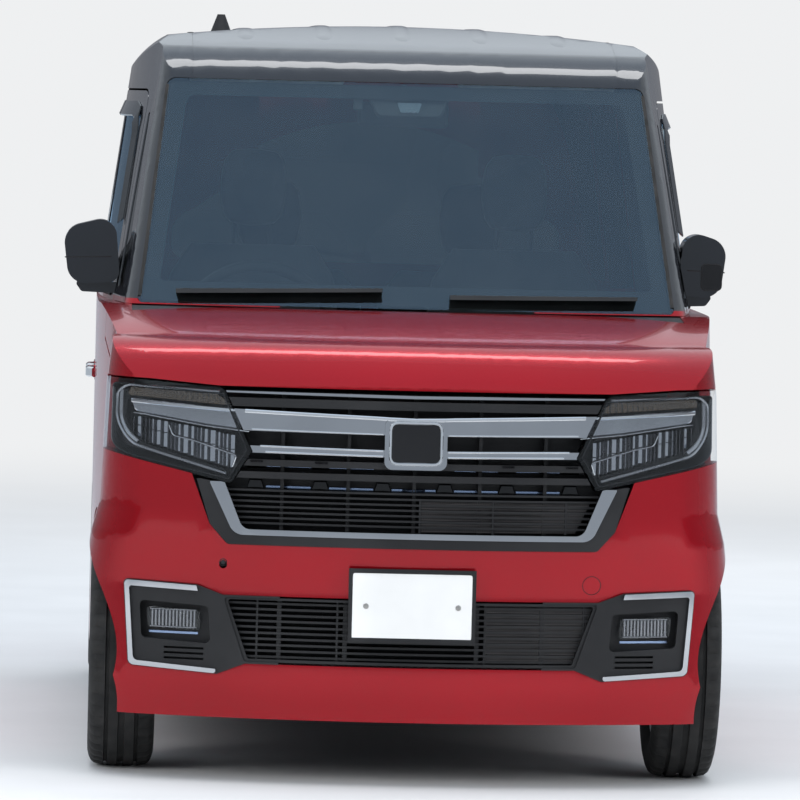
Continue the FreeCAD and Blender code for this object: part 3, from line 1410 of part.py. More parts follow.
def make_antenna():
    station = 2960.0
    x = -413.0
    foot = Part.makeCone(30, 14, 26, at(x, station, size.roof_height - 60), Vector(0, 0.1, 1))
    zone = block(x - 40, x + 40, station - 50, station + 70, size.roof_height - 70, size.roof_height + 30)
    base = Part.makeCone(46, 10, 96, at(x, station, size.roof_height - 62), Vector(0, 0, 1))
    mast = Part.makeCylinder(4, 150, at(x, station, size.roof_height + 20), Vector(0, 1, 0.02))
    whole = base.fuse(mast).cut(envelope(-0.3))
    return max(whole.Solids, key=lambda solid: solid.Volume)


def make_wipers():
    """Two blades and their arms, lying along the foot of the windscreen."""
    pieces = []
    for pivot_x, tip_x, mid_z, foot_z in ((-585, -60, 1122, 1088), (60, 545, 1114, 1088)):
        blade = [(pivot_x + 40, foot_z + 12), (tip_x, mid_z - 8), (tip_x, mid_z), (pivot_x + 40, foot_z + 22)]
        blade_solid = front_prism(blade, 400, 1000).common(envelope(-16)).cut(envelope(0.7))
        pieces.append(blade_solid.common(block(-BIG, BIG, 560, 900, 1060, 1200)))
    return Part.makeCompound([solid for piece in pieces for solid in piece.Solids])


# The sub-parts
make_engine()
make_fuel_tank()
for axle, station_text in (("front", "dims.front_overhang"), ("rear", "(dims.front_overhang + dims.wheelbase)")):
    for side, sign in SIDES:
        make_tyre(f"tyre_{axle}_{side}", sign, station_text)
        make_rim(f"rim_{axle}_{side}", sign, station_text)

body_side = make_body_side()
front_door = make_front_door()
front_pane = side_glass(FRONT_WINDOW)
sliding_pane = side_glass(SLIDING_WINDOW)
quarter_panes = [side_glass(QUARTER_WINDOW), side_glass(PILLAR_WINDOW)]
add_node("body_side_left", body_side)
add_node("body_side_right", mirrored(body_side))
add_node("roof", make_roof())
add_node("bonnet", make_bonnet())
add_node("front_wings", make_front_wings())
add_node("front_bumper", make_front_bumper())
add_node("rear_bumper", make_rear_bumper())
add_node("upper_grille", make_upper_grille())
add_node("front_trim", make_front_trim())
add_node("lower_grille", make_lower_grille())
add_node("fog_surrounds", make_fog_surrounds())
add_node("fog_lamps", make_fog_lamps())
add_node("headlamps", make_headlamps())
add_node("plate_carrier", make_plate_carrier())
add_node("radiator", make_radiator())
add_node("windscreen", make_windscreen())
add_node("cowl", make_cowl())
add_node("wipers", make_wipers())
add_node("front_door_left", front_door)
add_node("front_door_right", mirrored(front_door))
add_node("front_glass_left", front_pane)
add_node("front_glass_right", mirrored(front_pane))
add_node("mirror_left", make_mirror(660, 778))
add_node("mirror_right", mirrored(make_mirror(676, 815)))
add_node("sliding_doors", both(make_sliding_door()))
add_node("side_glass", Part.makeCompound([both(pane) for pane in [sliding_pane] + quarter_panes]))
add_node("tailgate", make_tailgate())
add_node("tailgate_glass", make_gate_glass())
add_node("tail_lamps", both(panel(0, 60, tail_lamp_prism())))
add_node("floor", make_floor())
add_node("arch_liners", make_arch_liners())
add_node("dashboard", make_dashboard())
add_node("front_seats", make_front_seats())
add_node("rear_seat", make_rear_seat())
add_node("front_suspension", make_suspension())
add_node("knuckle_left", make_knuckle(1))
add_node("knuckle_right", make_knuckle(-1))
add_node("rear_axle", make_rear_axle())
add_node("exhaust", make_exhaust())
add_node("steering_wheel", make_steering_wheel())
add_node("antenna", make_antenna())

doc.recompute()
faults = [item.Name for item in doc.Objects if "Invalid" in item.State or "Error" in item.State]
for node in nodes:
    if node.Shape.isNull() or not node.Shape.isValid() or node.Shape.Volume <= 0:
        faults.append(node.Label)
if faults:
    raise RuntimeError(f"not built: {faults}")
os.makedirs("parts", exist_ok=True)
for node in nodes:
    node.Shape.exportStep(os.path.join("parts", f"{node.Label}.step"))
    print(f"{node.Label}: {len(node.Shape.Solids)} solids, {node.Shape.Volume / 1e6:.2f} litres")
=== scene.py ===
"""The look of the tall kei car: paint, glass, lamps, grilles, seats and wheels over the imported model.

Metres. X to the car's left, Y rearwards, Z up. Stations are counted rearwards from the front bumper's face.
"""
import bpy
import bmesh
import json
import math
import random
from mathutils import Matrix, Vector
from mathutils.bvhtree import BVHTree


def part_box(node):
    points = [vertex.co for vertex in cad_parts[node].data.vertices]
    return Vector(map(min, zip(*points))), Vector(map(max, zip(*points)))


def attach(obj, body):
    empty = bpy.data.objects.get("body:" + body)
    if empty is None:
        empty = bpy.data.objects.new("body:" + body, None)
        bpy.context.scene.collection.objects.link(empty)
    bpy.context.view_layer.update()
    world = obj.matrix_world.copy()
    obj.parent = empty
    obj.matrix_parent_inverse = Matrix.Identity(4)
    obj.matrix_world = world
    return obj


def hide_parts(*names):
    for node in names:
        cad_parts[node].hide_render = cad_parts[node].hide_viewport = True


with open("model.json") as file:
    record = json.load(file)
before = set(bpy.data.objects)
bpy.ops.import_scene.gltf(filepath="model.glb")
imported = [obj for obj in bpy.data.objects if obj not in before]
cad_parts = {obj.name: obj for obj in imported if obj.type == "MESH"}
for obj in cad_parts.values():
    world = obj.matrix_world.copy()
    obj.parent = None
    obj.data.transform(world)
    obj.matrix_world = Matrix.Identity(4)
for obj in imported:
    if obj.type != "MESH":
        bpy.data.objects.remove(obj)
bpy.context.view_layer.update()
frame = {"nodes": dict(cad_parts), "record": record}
random.seed(7)

HALF_LENGTH = 1.6975


def at(x, station, height):
    """A point given in millimetres: offset, station and height."""
    return Vector((x / 1000, station / 1000 - HALF_LENGTH, height / 1000))


# Camera
CAMERA_PLACE = (-0.7489, -17.6975, 1.5713)
CAMERA_YAW = math.radians(2.539)
CAMERA_PITCH = math.radians(2.446)
CAMERA_ROLL = math.radians(1.439)
CAMERA_LENS = 318.1


def make_camera():
    data = bpy.data.cameras.new("camera")
    data.sensor_width = 36
    data.lens = CAMERA_LENS
    data.clip_end = 200
    camera = bpy.data.objects.new("camera", data)
    bpy.context.scene.collection.objects.link(camera)
    ahead = Vector((math.sin(CAMERA_YAW), math.cos(CAMERA_YAW), 0))
    right = Vector((math.cos(CAMERA_YAW), -math.sin(CAMERA_YAW), 0))
    up = Vector((0, 0, 1))
    look = ahead * math.cos(CAMERA_PITCH) - up * math.sin(CAMERA_PITCH)
    rise = up * math.cos(CAMERA_PITCH) + ahead * math.sin(CAMERA_PITCH)
    side = right * math.cos(CAMERA_ROLL) + rise * math.sin(CAMERA_ROLL)
    top = rise * math.cos(CAMERA_ROLL) - right * math.sin(CAMERA_ROLL)
    turn = Matrix((side, top, -look)).transposed()
    camera.matrix_world = Matrix.Translation(CAMERA_PLACE) @ turn.to_4x4()
    bpy.context.scene.camera = camera


make_camera()


# Materials
REAR_PILLAR = 3.15 - HALF_LENGTH
GLASS_LINE = 1.084
RAIL_LINE = 1.63


class Graph:
    """A material's node tree, written a node at a time."""

    def __init__(self, name):
        self.material = bpy.data.materials.new(name)
        self.material.use_nodes = True
        self.tree = self.material.node_tree
        self.tree.nodes.clear()
        self.out = self.node("ShaderNodeOutputMaterial")

    def node(self, kind, inputs=None, **settings):
        made = self.tree.nodes.new(kind)
        for key, value in settings.items():
            setattr(made, key, value)
        for key, value in (inputs or {}).items():
            made.inputs[key].default_value = value
        return made

    def link(self, start, end):
        self.tree.links.new(start, end)

    def shader(self, **sockets):
        named = {key.replace("_", " "): value for key, value in sockets.items()}
        return self.node("ShaderNodeBsdfPrincipled", named)

    def place(self, scale):
        """Object-space coordinates times a scale for each axis."""
        coords = self.node("ShaderNodeTexCoord")
        mapping = self.node("ShaderNodeMapping", {"Scale": scale})
        self.link(coords.outputs["Object"], mapping.inputs["Vector"])
        return mapping.outputs["Vector"]

    def noise(self, scale, detail=3.0, rough=0.5, vector=None):
        made = self.node("ShaderNodeTexNoise", {"Scale": scale, "Detail": detail, "Roughness": rough})
        self.link(vector or self.place((1, 1, 1)), made.inputs["Vector"])
        return made.outputs["Fac"]

    def ramp(self, value, stops):
        made = self.node("ShaderNodeValToRGB")
        bands = made.color_ramp.elements
        while len(bands) < len(stops):
            bands.new(0.5)
        for band, (place, colour) in zip(bands, stops):
            band.position = place
            band.color = (*colour, 1) if len(colour) == 3 else colour
        self.link(value, made.inputs["Fac"])
        return made.outputs["Color"]

    def grade(self, value, low, high):
        """The value moved from 0..1 to low..high."""
        made = self.node("ShaderNodeMapRange", {"To Min": low, "To Max": high})
        self.link(value, made.inputs["Value"])
        return made.outputs["Result"]

    def bump(self, value, strength, distance, shader):
        made = self.node("ShaderNodeBump", {"Strength": strength, "Distance": distance})
        self.link(value, made.inputs["Height"])
        self.link(made.outputs["Normal"], shader.inputs["Normal"])

    def done(self, shader):
        self.link(shader.outputs[0], self.out.inputs["Surface"])
        return self.material


def paint_shader(graph, low, high, metallic, coat):
    """Pigment under a clear coat, with a fine flake and a soft change of tone."""
    shader = graph.shader(Metallic=metallic, Coat_Weight=coat, Coat_Roughness=0.03, Specular_IOR_Level=0.2)
    graph.link(graph.ramp(graph.noise(1.3, 2.0), [(0.3, low), (0.7, high)]), shader.inputs["Base Color"])
    graph.link(graph.grade(graph.noise(900.0, 2.0, 0.6), 0.20, 0.30), shader.inputs["Roughness"])
    graph.bump(graph.noise(260.0, 2.0), 0.012, 0.0004, shader)
    return shader


def red_shader(graph):
    return paint_shader(graph, (0.29, 0.001, 0.006), (0.36, 0.0015, 0.009), 0.65, 0.55)


def black_shader(graph):
    return paint_shader(graph, (0.005, 0.006, 0.009), (0.009, 0.011, 0.015), 0.2, 1.0)


def red_paint():
    graph = Graph("red_paint")
    return graph.done(red_shader(graph))


def black_paint():
    graph = Graph("black_paint")
    return graph.done(black_shader(graph))


def two_tone():
    """Red below the side glass and on the rear pillars, gloss black on the other pillars and the rails."""
    graph = Graph("two_tone_paint")
    coords = graph.node("ShaderNodeTexCoord")
    split = graph.node("ShaderNodeSeparateXYZ")
    graph.link(coords.outputs["Object"], split.inputs[0])

    def test(value, kind, limit):
        made = graph.node("ShaderNodeMath", operation=kind)
        graph.link(value, made.inputs[0])
        if isinstance(limit, float):
            made.inputs[1].default_value = limit
        else:
            graph.link(limit, made.inputs[1])
        return made.outputs[0]

    ahead = test(split.outputs["Y"], "LESS_THAN", REAR_PILLAR)
    above = test(split.outputs["Z"], "GREATER_THAN", GLASS_LINE)
    rail = test(split.outputs["Z"], "GREATER_THAN", RAIL_LINE)
    black = test(test(ahead, "MULTIPLY", above), "MAXIMUM", rail)
    mix = graph.node("ShaderNodeMixShader")
    graph.link(black, mix.inputs["Fac"])
    graph.link(red_shader(graph).outputs[0], mix.inputs[1])
    graph.link(black_shader(graph).outputs[0], mix.inputs[2])
    return graph.done(mix)


def grained(name, dark, light, rough=(0.5, 0.68), grain=700.0, strength=0.25):
    """Moulded plastic with a fine leather-like grain."""
    graph = Graph(name)
    shader = graph.shader(Specular_IOR_Level=0.4)
    tone = graph.noise(5.0, 3.0)
    graph.link(graph.ramp(tone, [(0.3, dark), (0.7, light)]), shader.inputs["Base Color"])
    graph.link(graph.grade(graph.noise(30.0, 3.0), *rough), shader.inputs["Roughness"])
    graph.bump(graph.noise(grain, 3.0), strength, 0.0004, shader)
    return graph.done(shader)


def bright(name, colour, rough=(0.03, 0.09), metallic=1.0):
    """Plating, with faint smears in its gloss."""
    graph = Graph(name)
    shader = graph.shader(Metallic=metallic)
    tone = graph.noise(6.0, 3.0)
    dim = tuple(part * 0.9 for part in colour)
    graph.link(graph.ramp(tone, [(0.3, dim), (0.7, colour)]), shader.inputs["Base Color"])
    graph.link(graph.grade(graph.noise(14.0, 4.0), *rough), shader.inputs["Roughness"])
    return graph.done(shader)


def pane(name, tint, index, shine=(0.9, 0.93, 0.95)):
    """Thin tinted glass: a clear film that mirrors by its angle, with a little dust in it."""
    graph = Graph(name)
    clear = graph.node("ShaderNodeBsdfTransparent", {"Color": (*tint, 1)})
    gloss = graph.node("ShaderNodeBsdfGlossy", {"Roughness": 0.0, "Color": (*shine, 1)})
    sheen = graph.node("ShaderNodeFresnel", {"IOR": index})
    side = graph.node("ShaderNodeNewGeometry")
    front = graph.node("ShaderNodeMath", operation="SUBTRACT")
    front.inputs[0].default_value = 1.0
    graph.link(side.outputs["Backfacing"], front.inputs[1])
    share = graph.node("ShaderNodeMath", operation="MULTIPLY")
    graph.link(sheen.outputs["Fac"], share.inputs[0])
    graph.link(front.outputs[0], share.inputs[1])
    mix = graph.node("ShaderNodeMixShader")
    graph.link(share.outputs[0], mix.inputs["Fac"])
    graph.link(clear.outputs[0], mix.inputs[1])
    graph.link(gloss.outputs[0], mix.inputs[2])
    dust = graph.node("ShaderNodeBsdfDiffuse", {"Color": (0.5, 0.52, 0.52, 1)})
    film = graph.node("ShaderNodeMixShader")
    graph.link(graph.grade(graph.noise(9.0, 5.0), 0.0, 0.012), film.inputs["Fac"])
    graph.link(mix.outputs[0], film.inputs[1])
    graph.link(dust.outputs[0], film.inputs[2])
    return graph.done(film)


def rubber(name, grain=300.0):
    graph = Graph(name)
    shader = graph.shader(Specular_IOR_Level=0.3)
    tone = graph.noise(24.0, 4.0)
    graph.link(graph.ramp(tone, [(0.35, (0.012, 0.012, 0.012)), (0.75, (0.028, 0.027, 0.026))]),
               shader.inputs["Base Color"])
    graph.link(graph.grade(graph.noise(60.0, 3.0), 0.6, 0.85), shader.inputs["Roughness"])
    graph.bump(graph.noise(grain, 3.0), 0.3, 0.0005, shader)
    return graph.done(shader)


def woven(name, dark, light):
    """Seat cloth: two crossed threads and a mottled tone."""
    graph = Graph(name)
    shader = graph.shader(Roughness=0.9, Sheen_Weight=0.3, Sheen_Roughness=0.5)
    warp = graph.node("ShaderNodeTexWave", {"Scale": 260.0})
    graph.link(graph.place((1, 0.3, 1)), warp.inputs["Vector"])
    weft = graph.node("ShaderNodeTexWave", {"Scale": 260.0}, bands_direction="Z")
    graph.link(graph.place((1, 1, 1)), weft.inputs["Vector"])
    cross = graph.node("ShaderNodeMath", operation="MULTIPLY")
    graph.link(warp.outputs["Fac"], cross.inputs[0])
    graph.link(weft.outputs["Fac"], cross.inputs[1])
    graph.link(graph.ramp(graph.noise(18.0, 4.0), [(0.3, dark), (0.7, light)]), shader.inputs["Base Color"])
    graph.bump(cross.outputs[0], 0.4, 0.0006, shader)
    return graph.done(shader)


def cast(name, dark, light, metallic=0.9):
    graph = Graph(name)
    shader = graph.shader(Metallic=metallic)
    graph.link(graph.ramp(graph.noise(22.0, 5.0), [(0.3, dark), (0.7, light)]), shader.inputs["Base Color"])
    graph.link(graph.grade(graph.noise(40.0, 4.0), 0.35, 0.6), shader.inputs["Roughness"])
    graph.bump(graph.noise(420.0, 3.0), 0.2, 0.0005, shader)
    return graph.done(shader)


def honeycomb(name, dark, light, cell):
    """A lens moulded with small cells."""
    graph = Graph(name)
    shader = graph.shader(Roughness=0.18, Coat_Weight=0.6, Coat_Roughness=0.05)
    cells = graph.node("ShaderNodeTexVoronoi", {"Scale": cell, "Randomness": 0.15})
    graph.link(graph.place((1, 1, 1)), cells.inputs["Vector"])
    tone = graph.ramp(cells.outputs["Distance"], [(0.1, light), (0.6, dark)])
    graph.link(tone, shader.inputs["Base Color"])
    graph.bump(cells.outputs["Distance"], 0.5, 0.001, shader)
    return graph.done(shader)


def mesh_screen(name, pitch):
    """A fine woven screen: square holes between dark wires."""
    graph = Graph(name)
    shader = graph.shader(Roughness=0.5)
    gaps = []
    for axis in "XZ":
        wave = graph.node("ShaderNodeTexWave", {"Scale": 0.314 / pitch}, bands_direction=axis)
        graph.link(graph.place((1, 1, 1)), wave.inputs["Vector"])
        gap = graph.node("ShaderNodeMath", operation="GREATER_THAN")
        gap.inputs[1].default_value = 0.45
        graph.link(wave.outputs["Fac"], gap.inputs[0])
        gaps.append(gap)
    hole = graph.node("ShaderNodeMath", operation="MULTIPLY")
    graph.link(gaps[0].outputs[0], hole.inputs[0])
    graph.link(gaps[1].outputs[0], hole.inputs[1])
    graph.link(graph.ramp(graph.noise(30.0), [(0.3, (0.018, 0.016, 0.016)), (0.7, (0.034, 0.03, 0.03))]),
               shader.inputs["Base Color"])
    clear = graph.node("ShaderNodeBsdfTransparent")
    mix = graph.node("ShaderNodeMixShader")
    graph.link(hole.outputs[0], mix.inputs["Fac"])
    graph.link(shader.outputs[0], mix.inputs[1])
    graph.link(clear.outputs[0], mix.inputs[2])
    return graph.done(mix)


RED = red_paint()
BLACK = black_paint()
TWO_TONE = two_tone()
PLASTIC = grained("black_plastic", (0.008, 0.008, 0.009), (0.017, 0.017, 0.018))
GLOSS = grained("gloss_black", (0.005, 0.005, 0.006), (0.009, 0.009, 0.01), (0.08, 0.16), 500.0, 0.01)
CHROME = bright("chrome", (0.82, 0.83, 0.84))
DEEP_CHROME = bright("deep_chrome", (0.46, 0.47, 0.49))
# The windscreen's shine is tinted blue: a painted sky colour in its reflections.
GLASS = pane("windscreen_glass", (0.74, 0.80, 0.80), 1.85, (0.55, 0.78, 1.0))
DARK_GLASS = pane("privacy_glass", (0.10, 0.11, 0.11), 1.5)
LENS = pane("clear_lens", (0.93, 0.94, 0.95), 1.42)
SMOKE = pane("smoked_visor", (0.14, 0.14, 0.15), 1.45)
# Blue plating: a painted sky reflection, laid on the grille slat tops and the fog lamp bars.
PAINTED_SKY_PLATE = bright("painted_sky_plating", (0.34, 0.44, 0.64), (0.2, 0.3))
SATIN = bright("satin_bezel", (0.30, 0.31, 0.33), (0.22, 0.32), 0.9)
SMOKED_FIN = bright("lamp_fin", (0.13, 0.13, 0.14), (0.12, 0.2), 0.9)
MIRROR = bright("mirror_glass", (0.75, 0.78, 0.8), (0.0, 0.01))
AMBER = honeycomb("amber_lens", (0.022, 0.016, 0.010), (0.085, 0.055, 0.025), 260.0)
RED_LENS = honeycomb("red_lens", (0.16, 0.002, 0.004), (0.34, 0.006, 0.010), 120.0)
CLEAR_CELLS = honeycomb("clear_cells", (0.55, 0.56, 0.57), (0.8, 0.8, 0.81), 150.0)
SCREEN = mesh_screen("grille_screen", 0.0052)
HEADLINER = woven("headliner", (0.36, 0.35, 0.33), (0.44, 0.43, 0.41))
RUBBER = rubber("tyre_rubber")
CLOTH = woven("seat_cloth", (0.035, 0.035, 0.04), (0.06, 0.06, 0.066))
CAST = cast("cast_metal", (0.2, 0.2, 0.2), (0.34, 0.34, 0.35))
UNDER = cast("underbody_coat", (0.02, 0.02, 0.021), (0.045, 0.045, 0.045), 0.3)
ALLOY = cast("alloy_paint", (0.4, 0.4, 0.42), (0.5, 0.5, 0.52))
STEEL = cast("exhaust_steel", (0.3, 0.29, 0.27), (0.5, 0.49, 0.47))
CABIN = grained("cabin_plastic", (0.02, 0.02, 0.022), (0.04, 0.04, 0.043))
PLATE = grained("plate_white", (0.7, 0.7, 0.69), (0.8, 0.8, 0.79), (0.3, 0.4), 300.0, 0.03)

FINISH = {
    "red_paint": RED, "black_paint": BLACK, "black_plastic": PLASTIC, "chrome": CHROME, "lamp_glass": LENS,
    "plate_white": PLASTIC, "cast_metal": CAST, "clear_glass": GLASS, "dark_glass": DARK_GLASS,
    "tail_lens": RED_LENS, "dark_steel": UNDER, "cabin_plastic": CABIN, "seat_fabric": CLOTH,
    "bright_steel": STEEL, "tyre": RUBBER, "alloy": ALLOY,
}
NODE_FINISH = {
    "body_side_left": TWO_TONE, "body_side_right": TWO_TONE, "sliding_doors": TWO_TONE,
    "front_door_left": TWO_TONE, "front_door_right": TWO_TONE, "front_trim": DEEP_CHROME,
    "upper_grille": PLASTIC,
}


def smooth(obj, angle):
    """Rounded shading with creases kept where faces meet at more than the angle."""
    obj.data.polygons.foreach_set("use_smooth", [True] * len(obj.data.polygons))
    weld = obj.modifiers.new("weld", "WELD")
    weld.merge_threshold = 0.00002
    crease = obj.modifiers.new("creases", "EDGE_SPLIT")
    crease.split_angle = math.radians(angle)
    even = obj.modifiers.new("even", "WEIGHTED_NORMAL")
    even.weight = 100


slots = {entry["node"]: entry["material_slot"] for entry in frame["record"]["subparts"]}
for node_name, node_object in frame["nodes"].items():
    node_object.data.materials.clear()
    node_object.data.materials.append(NODE_FINISH.get(node_name, FINISH[slots[node_name]]))
    smooth(node_object, 28)


# Outlines, in millimetres
def rounded(corners, steps=4):
    """Points of a closed outline; a corner's third value rounds it."""
    points = []
    for i, corner in enumerate(corners):
        here = Vector(corner[:2])
        if len(corner) < 3:
            points.append(here)
            continue
        before = Vector(corners[i - 1][:2]) - here
        after = Vector(corners[(i + 1) % len(corners)][:2]) - here
        back = min(corner[2], before.length * 0.49, after.length * 0.49)
        start = here + before.normalized() * back
        end = here + after.normalized() * back
        for step in range(steps + 1):
            t = step / steps
            points.append(start * (1 - t) ** 2 + here * 2 * t * (1 - t) + end * t * t)
    return points


def fine(points, step=30, closed=True):
    """The same line with no stretch longer than step."""
    points = [Vector(point) for point in points]
    ends = points[1:] + points[:1] if closed else points[1:]
    result = []
    for here, after in zip(points, ends):
        parts = max(1, math.ceil((after - here).length / step))
        result += [here.lerp(after, i / parts) for i in range(parts)]
    return result if closed else result + [points[-1]]


def inset(points, by):
    """A closed outline moved inwards, each point along its own bisector."""
    turns = sum(points[i - 1].x * here.y - here.x * points[i - 1].y for i, here in enumerate(points))
    sign = 1 if turns > 0 else -1
    moved = []
    for i, here in enumerate(points):
        one = (here - points[i - 1]).normalized()
        two = (points[(i + 1) % len(points)] - here).normalized()
        moved.append(here + Vector((-(one.y + two.y), one.x + two.x)).normalized() * by * sign)
    return moved


def box_outline(u_low, v_low, u_high, v_high, round_off=0.0):
    corners = [(u_low, v_low), (u_high, v_low), (u_high, v_high), (u_low, v_high)]
    return rounded([(u, v, round_off) for u, v in corners]) if round_off else [Vector(c) for c in corners]


def circle(u, v, radius, steps=24):
    turns = [math.tau * i / steps for i in range(steps)]
    return [Vector((u + radius * math.cos(a), v + radius * math.sin(a))) for a in turns]


FRONT, REAR, LEFT, TOP = (0, -1, 0), (0, 1, 0), (1, 0, 0), (0, 0, 1)


class Skin:
    """Lays points on CAD nodes as seen from one side; from a flank the first value is a station."""

    def __init__(self, out, *nodes):
        self.out = Vector(out)
        verts, faces = [], []
        for node in nodes:
            mesh = frame["nodes"][node].data
            start = len(verts)
            verts += [vertex.co.copy() for vertex in mesh.vertices]
            faces += [[start + i for i in polygon.vertices] for polygon in mesh.polygons]
        self.tree = BVHTree.FromPolygons(verts, faces)
        self.last = self.out * 0.5

    def __call__(self, u, v, rise=0.0):
        if self.out.y:
            place = at(u, 1697.5, v)
        elif self.out.x:
            place = at(0, u, v)
        else:
            place = at(u, v, 0)
        hit = self.tree.ray_cast(place + self.out * 4, -self.out)[0]
        if hit is None:
            hit = place + self.out * self.last.dot(self.out)
        self.last = hit
        return hit + self.out * rise / 1000


class Sunk:
    """A skin moved inwards by a depth."""

    def __init__(self, skin, depth):
        self.skin = skin
        self.depth = depth
        self.out = skin.out

    def __call__(self, u, v, rise=0.0):
        return self.skin(u, v, rise - self.depth)


class Flat:
    """Lays points on a level plane across one way, at a depth in millimetres."""

    def __init__(self, out, depth):
        self.out = Vector(out)
        self.depth = depth

    def __call__(self, u, v, rise=0.0):
        if self.out.y:
            return at(u, self.depth, v) + self.out * rise / 1000
        if self.out.x:
            return at(self.depth, u, v) + self.out * rise / 1000
        return at(u, v, self.depth) + self.out * rise / 1000


def new_object(name, verts, faces):
    mesh = bpy.data.meshes.new(name)
    mesh.from_pydata(verts, [], faces)
    made = bpy.data.objects.new(name, mesh)
    bpy.context.scene.collection.objects.link(made)
    return made


class Shape:
    """Points and faces of one piece, gathered from lofts, sweeps, plates and turned sections."""

    def __init__(self):
        self.verts = []
        self.faces = []

    def loft(self, loops, ring=False):
        """Skins a run of loops; ring joins the last to the first, otherwise both ends are closed."""
        start = len(self.verts)
        size = len(loops[0])
        for loop in loops:
            self.verts += [Vector(point) for point in loop]
        for i in range(len(loops) if ring else len(loops) - 1):
            one = start + i * size
            two = start + (i + 1) % len(loops) * size
            for j in range(size):
                k = (j + 1) % size
                self.faces.append((one + j, one + k, two + k, two + j))
        if not ring:
            last = start + (len(loops) - 1) * size
            self.faces.append(tuple(reversed(range(start, start + size))))
            self.faces.append(tuple(range(last, last + size)))
        return self

    def sweep(self, path, section, out, ring=False):
        """Runs a section, in millimetres across and outwards, along a path."""
        loops = []
        for i, point in enumerate(path):
            ahead = path[(i + 1) % len(path)] if ring or i < len(path) - 1 else point
            behind = path[i - 1] if ring or i else point
            side = (ahead - behind).normalized().cross(Vector(out)).normalized()
            up = side.cross((ahead - behind).normalized())
            loops.append([point + side * a / 1000 + up * b / 1000 for a, b in section])
        return self.loft(loops, ring)

    def line(self, points, skin, width, rise, sink=1.0, ring=False, step=30):
        """A rounded strap laid along points of a skin."""
        half = width / 2
        section = [(-half, -sink), (-half, rise * 0.5), (-half * 0.55, rise), (half * 0.55, rise),
                   (half, rise * 0.5), (half, -sink)]
        path = [skin(u, v) for u, v in fine(points, step, ring)]
        return self.sweep(path, section, skin.out, ring)

    def plate(self, outline, skin, rise, sink=2.0, edge=1.0, step=30):
        """A plate over a skin, its front edge chamfered."""
        outer = fine(outline, step)
        inner = inset(outer, edge)
        return self.loft([[skin(u, v, -sink) for u, v in outer], [skin(u, v, rise - edge) for u, v in outer],
                          [skin(u, v, rise) for u, v in inner]])

    def tube(self, path, radius, steps=8, ring=False):
        """A round bar; path in metres, radius in millimetres."""
        turns = [math.tau * i / steps for i in range(steps)]
        round_section = [(radius * math.cos(a), radius * math.sin(a)) for a in turns]
        return self.sweep(path, round_section, (0.123, 0.234, 1), ring)

    def lathe(self, profile, centre, axis, steps=32, ring=False):
        """Circles about an axis; profile gives each one's place along it and its radius, in millimetres."""
        axis = Vector(axis)
        side = axis.orthogonal().normalized()
        up = axis.cross(side)
        turns = [math.tau * i / steps for i in range(steps)]
        loops = []
        for along, radius in profile:
            middle = centre + axis * along / 1000
            loops.append([middle + (side * math.cos(a) + up * math.sin(a)) * radius / 1000 for a in turns])
        return self.loft(loops, ring)

    def block(self, low, high, edge=2.0):
        """A block between two corners (offset, station, height) with chamfered edges."""
        loops = []
        corners = box_outline(low[0], low[1], high[0], high[1])
        outer = []
        for i, here in enumerate(corners):
            for other in (corners[i - 1], corners[(i + 1) % 4]):
                outer.append(here + (other - here).normalized() * edge)
        tight = inset(outer, edge * 0.7)
        foot, top = low[2], high[2]
        for height, loop in ((foot, tight), (foot + edge, outer), (top - edge, outer), (top, tight)):
            loops.append([at(u, v, height) for u, v in loop])
        return self.loft(loops)

    def both(self):
        """Adds the same again on the other side of the car."""
        other = self.flipped()
        start = len(self.verts)
        self.verts += other.verts
        self.faces += [tuple(start + i for i in face) for face in other.faces]
        return self

    def flipped(self):
        other = Shape()
        other.verts = [Vector((-point.x, point.y, point.z)) for point in self.verts]
        other.faces = [tuple(reversed(face)) for face in self.faces]
        return other

    def done(self, name, finish, slot, body="body", angle=32):
        piece = new_object(name, self.verts, self.faces)
        build = bmesh.new()
        build.from_mesh(piece.data)
        bmesh.ops.recalc_face_normals(build, faces=build.faces)
        build.to_mesh(piece.data)
        build.free()
        piece.data.materials.append(finish)
        smooth(piece, angle)
        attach(piece, body)
        return piece

    def pair(self, name, finish, slot, body):
        """One piece on each side, riding that side's body."""
        self.done(name + "_left", finish, slot, body + "_left")
        self.flipped().done(name + "_right", finish, slot, body + "_right")


# Headlamps, given for the left side
LAMP_BEZEL = ((447, 893), (655, 902, 12), (678, 884, 10), (679, 822, 20), (663, 791, 30), (641, 767, 30),
              (581, 749, 40), (428, 707))
LAMP_SHELL = ((438, 889), (640, 905), (690, 905, 10), (692, 765, 30), (660, 745, 20), (424, 695), (382, 762))
BLADE = ((650, 871), (408, 855), (372, 806), (478, 817), (614, 838), (638, 843, 8))
CELL_TOP = ((643, 832), (501, 812), (417, 796), (390, 775))
CELL_FOOT = ((652, 787), (618, 770), (502, 738), (413, 715))


def height_on(line, x):
    """Height at x of a line whose points run from high x to low."""
    for (x1, z1), (x2, z2) in zip(line, line[1:]):
        if x2 <= x <= x1:
            return z1 + (z2 - z1) * (x1 - x) / (x1 - x2)
    return line[0][1] if x > line[0][0] else line[-1][1]


def open_line(corners):
    """A rounded open line."""
    points = rounded(list(corners) + [corners[0][:2]])
    return points[:-1]


lamp = Skin(FRONT, "headlamps")
shell = fine(rounded(list(LAMP_SHELL)), 25)
bowl_walls = ((0, -4), (0, -34), (12, -60), (15, -58), (2, -33), (2, -4))
bowl = Shape().loft([[lamp(u, v, rise) for u, v in inset(shell, by)] for by, rise in bowl_walls], ring=True)
bowl.loft([[lamp(u, v, rise) for u, v in inset(shell, 13)] for rise in (-59, -62)])
bowl.both().done("lamp_housings", GLOSS, "black_plastic")


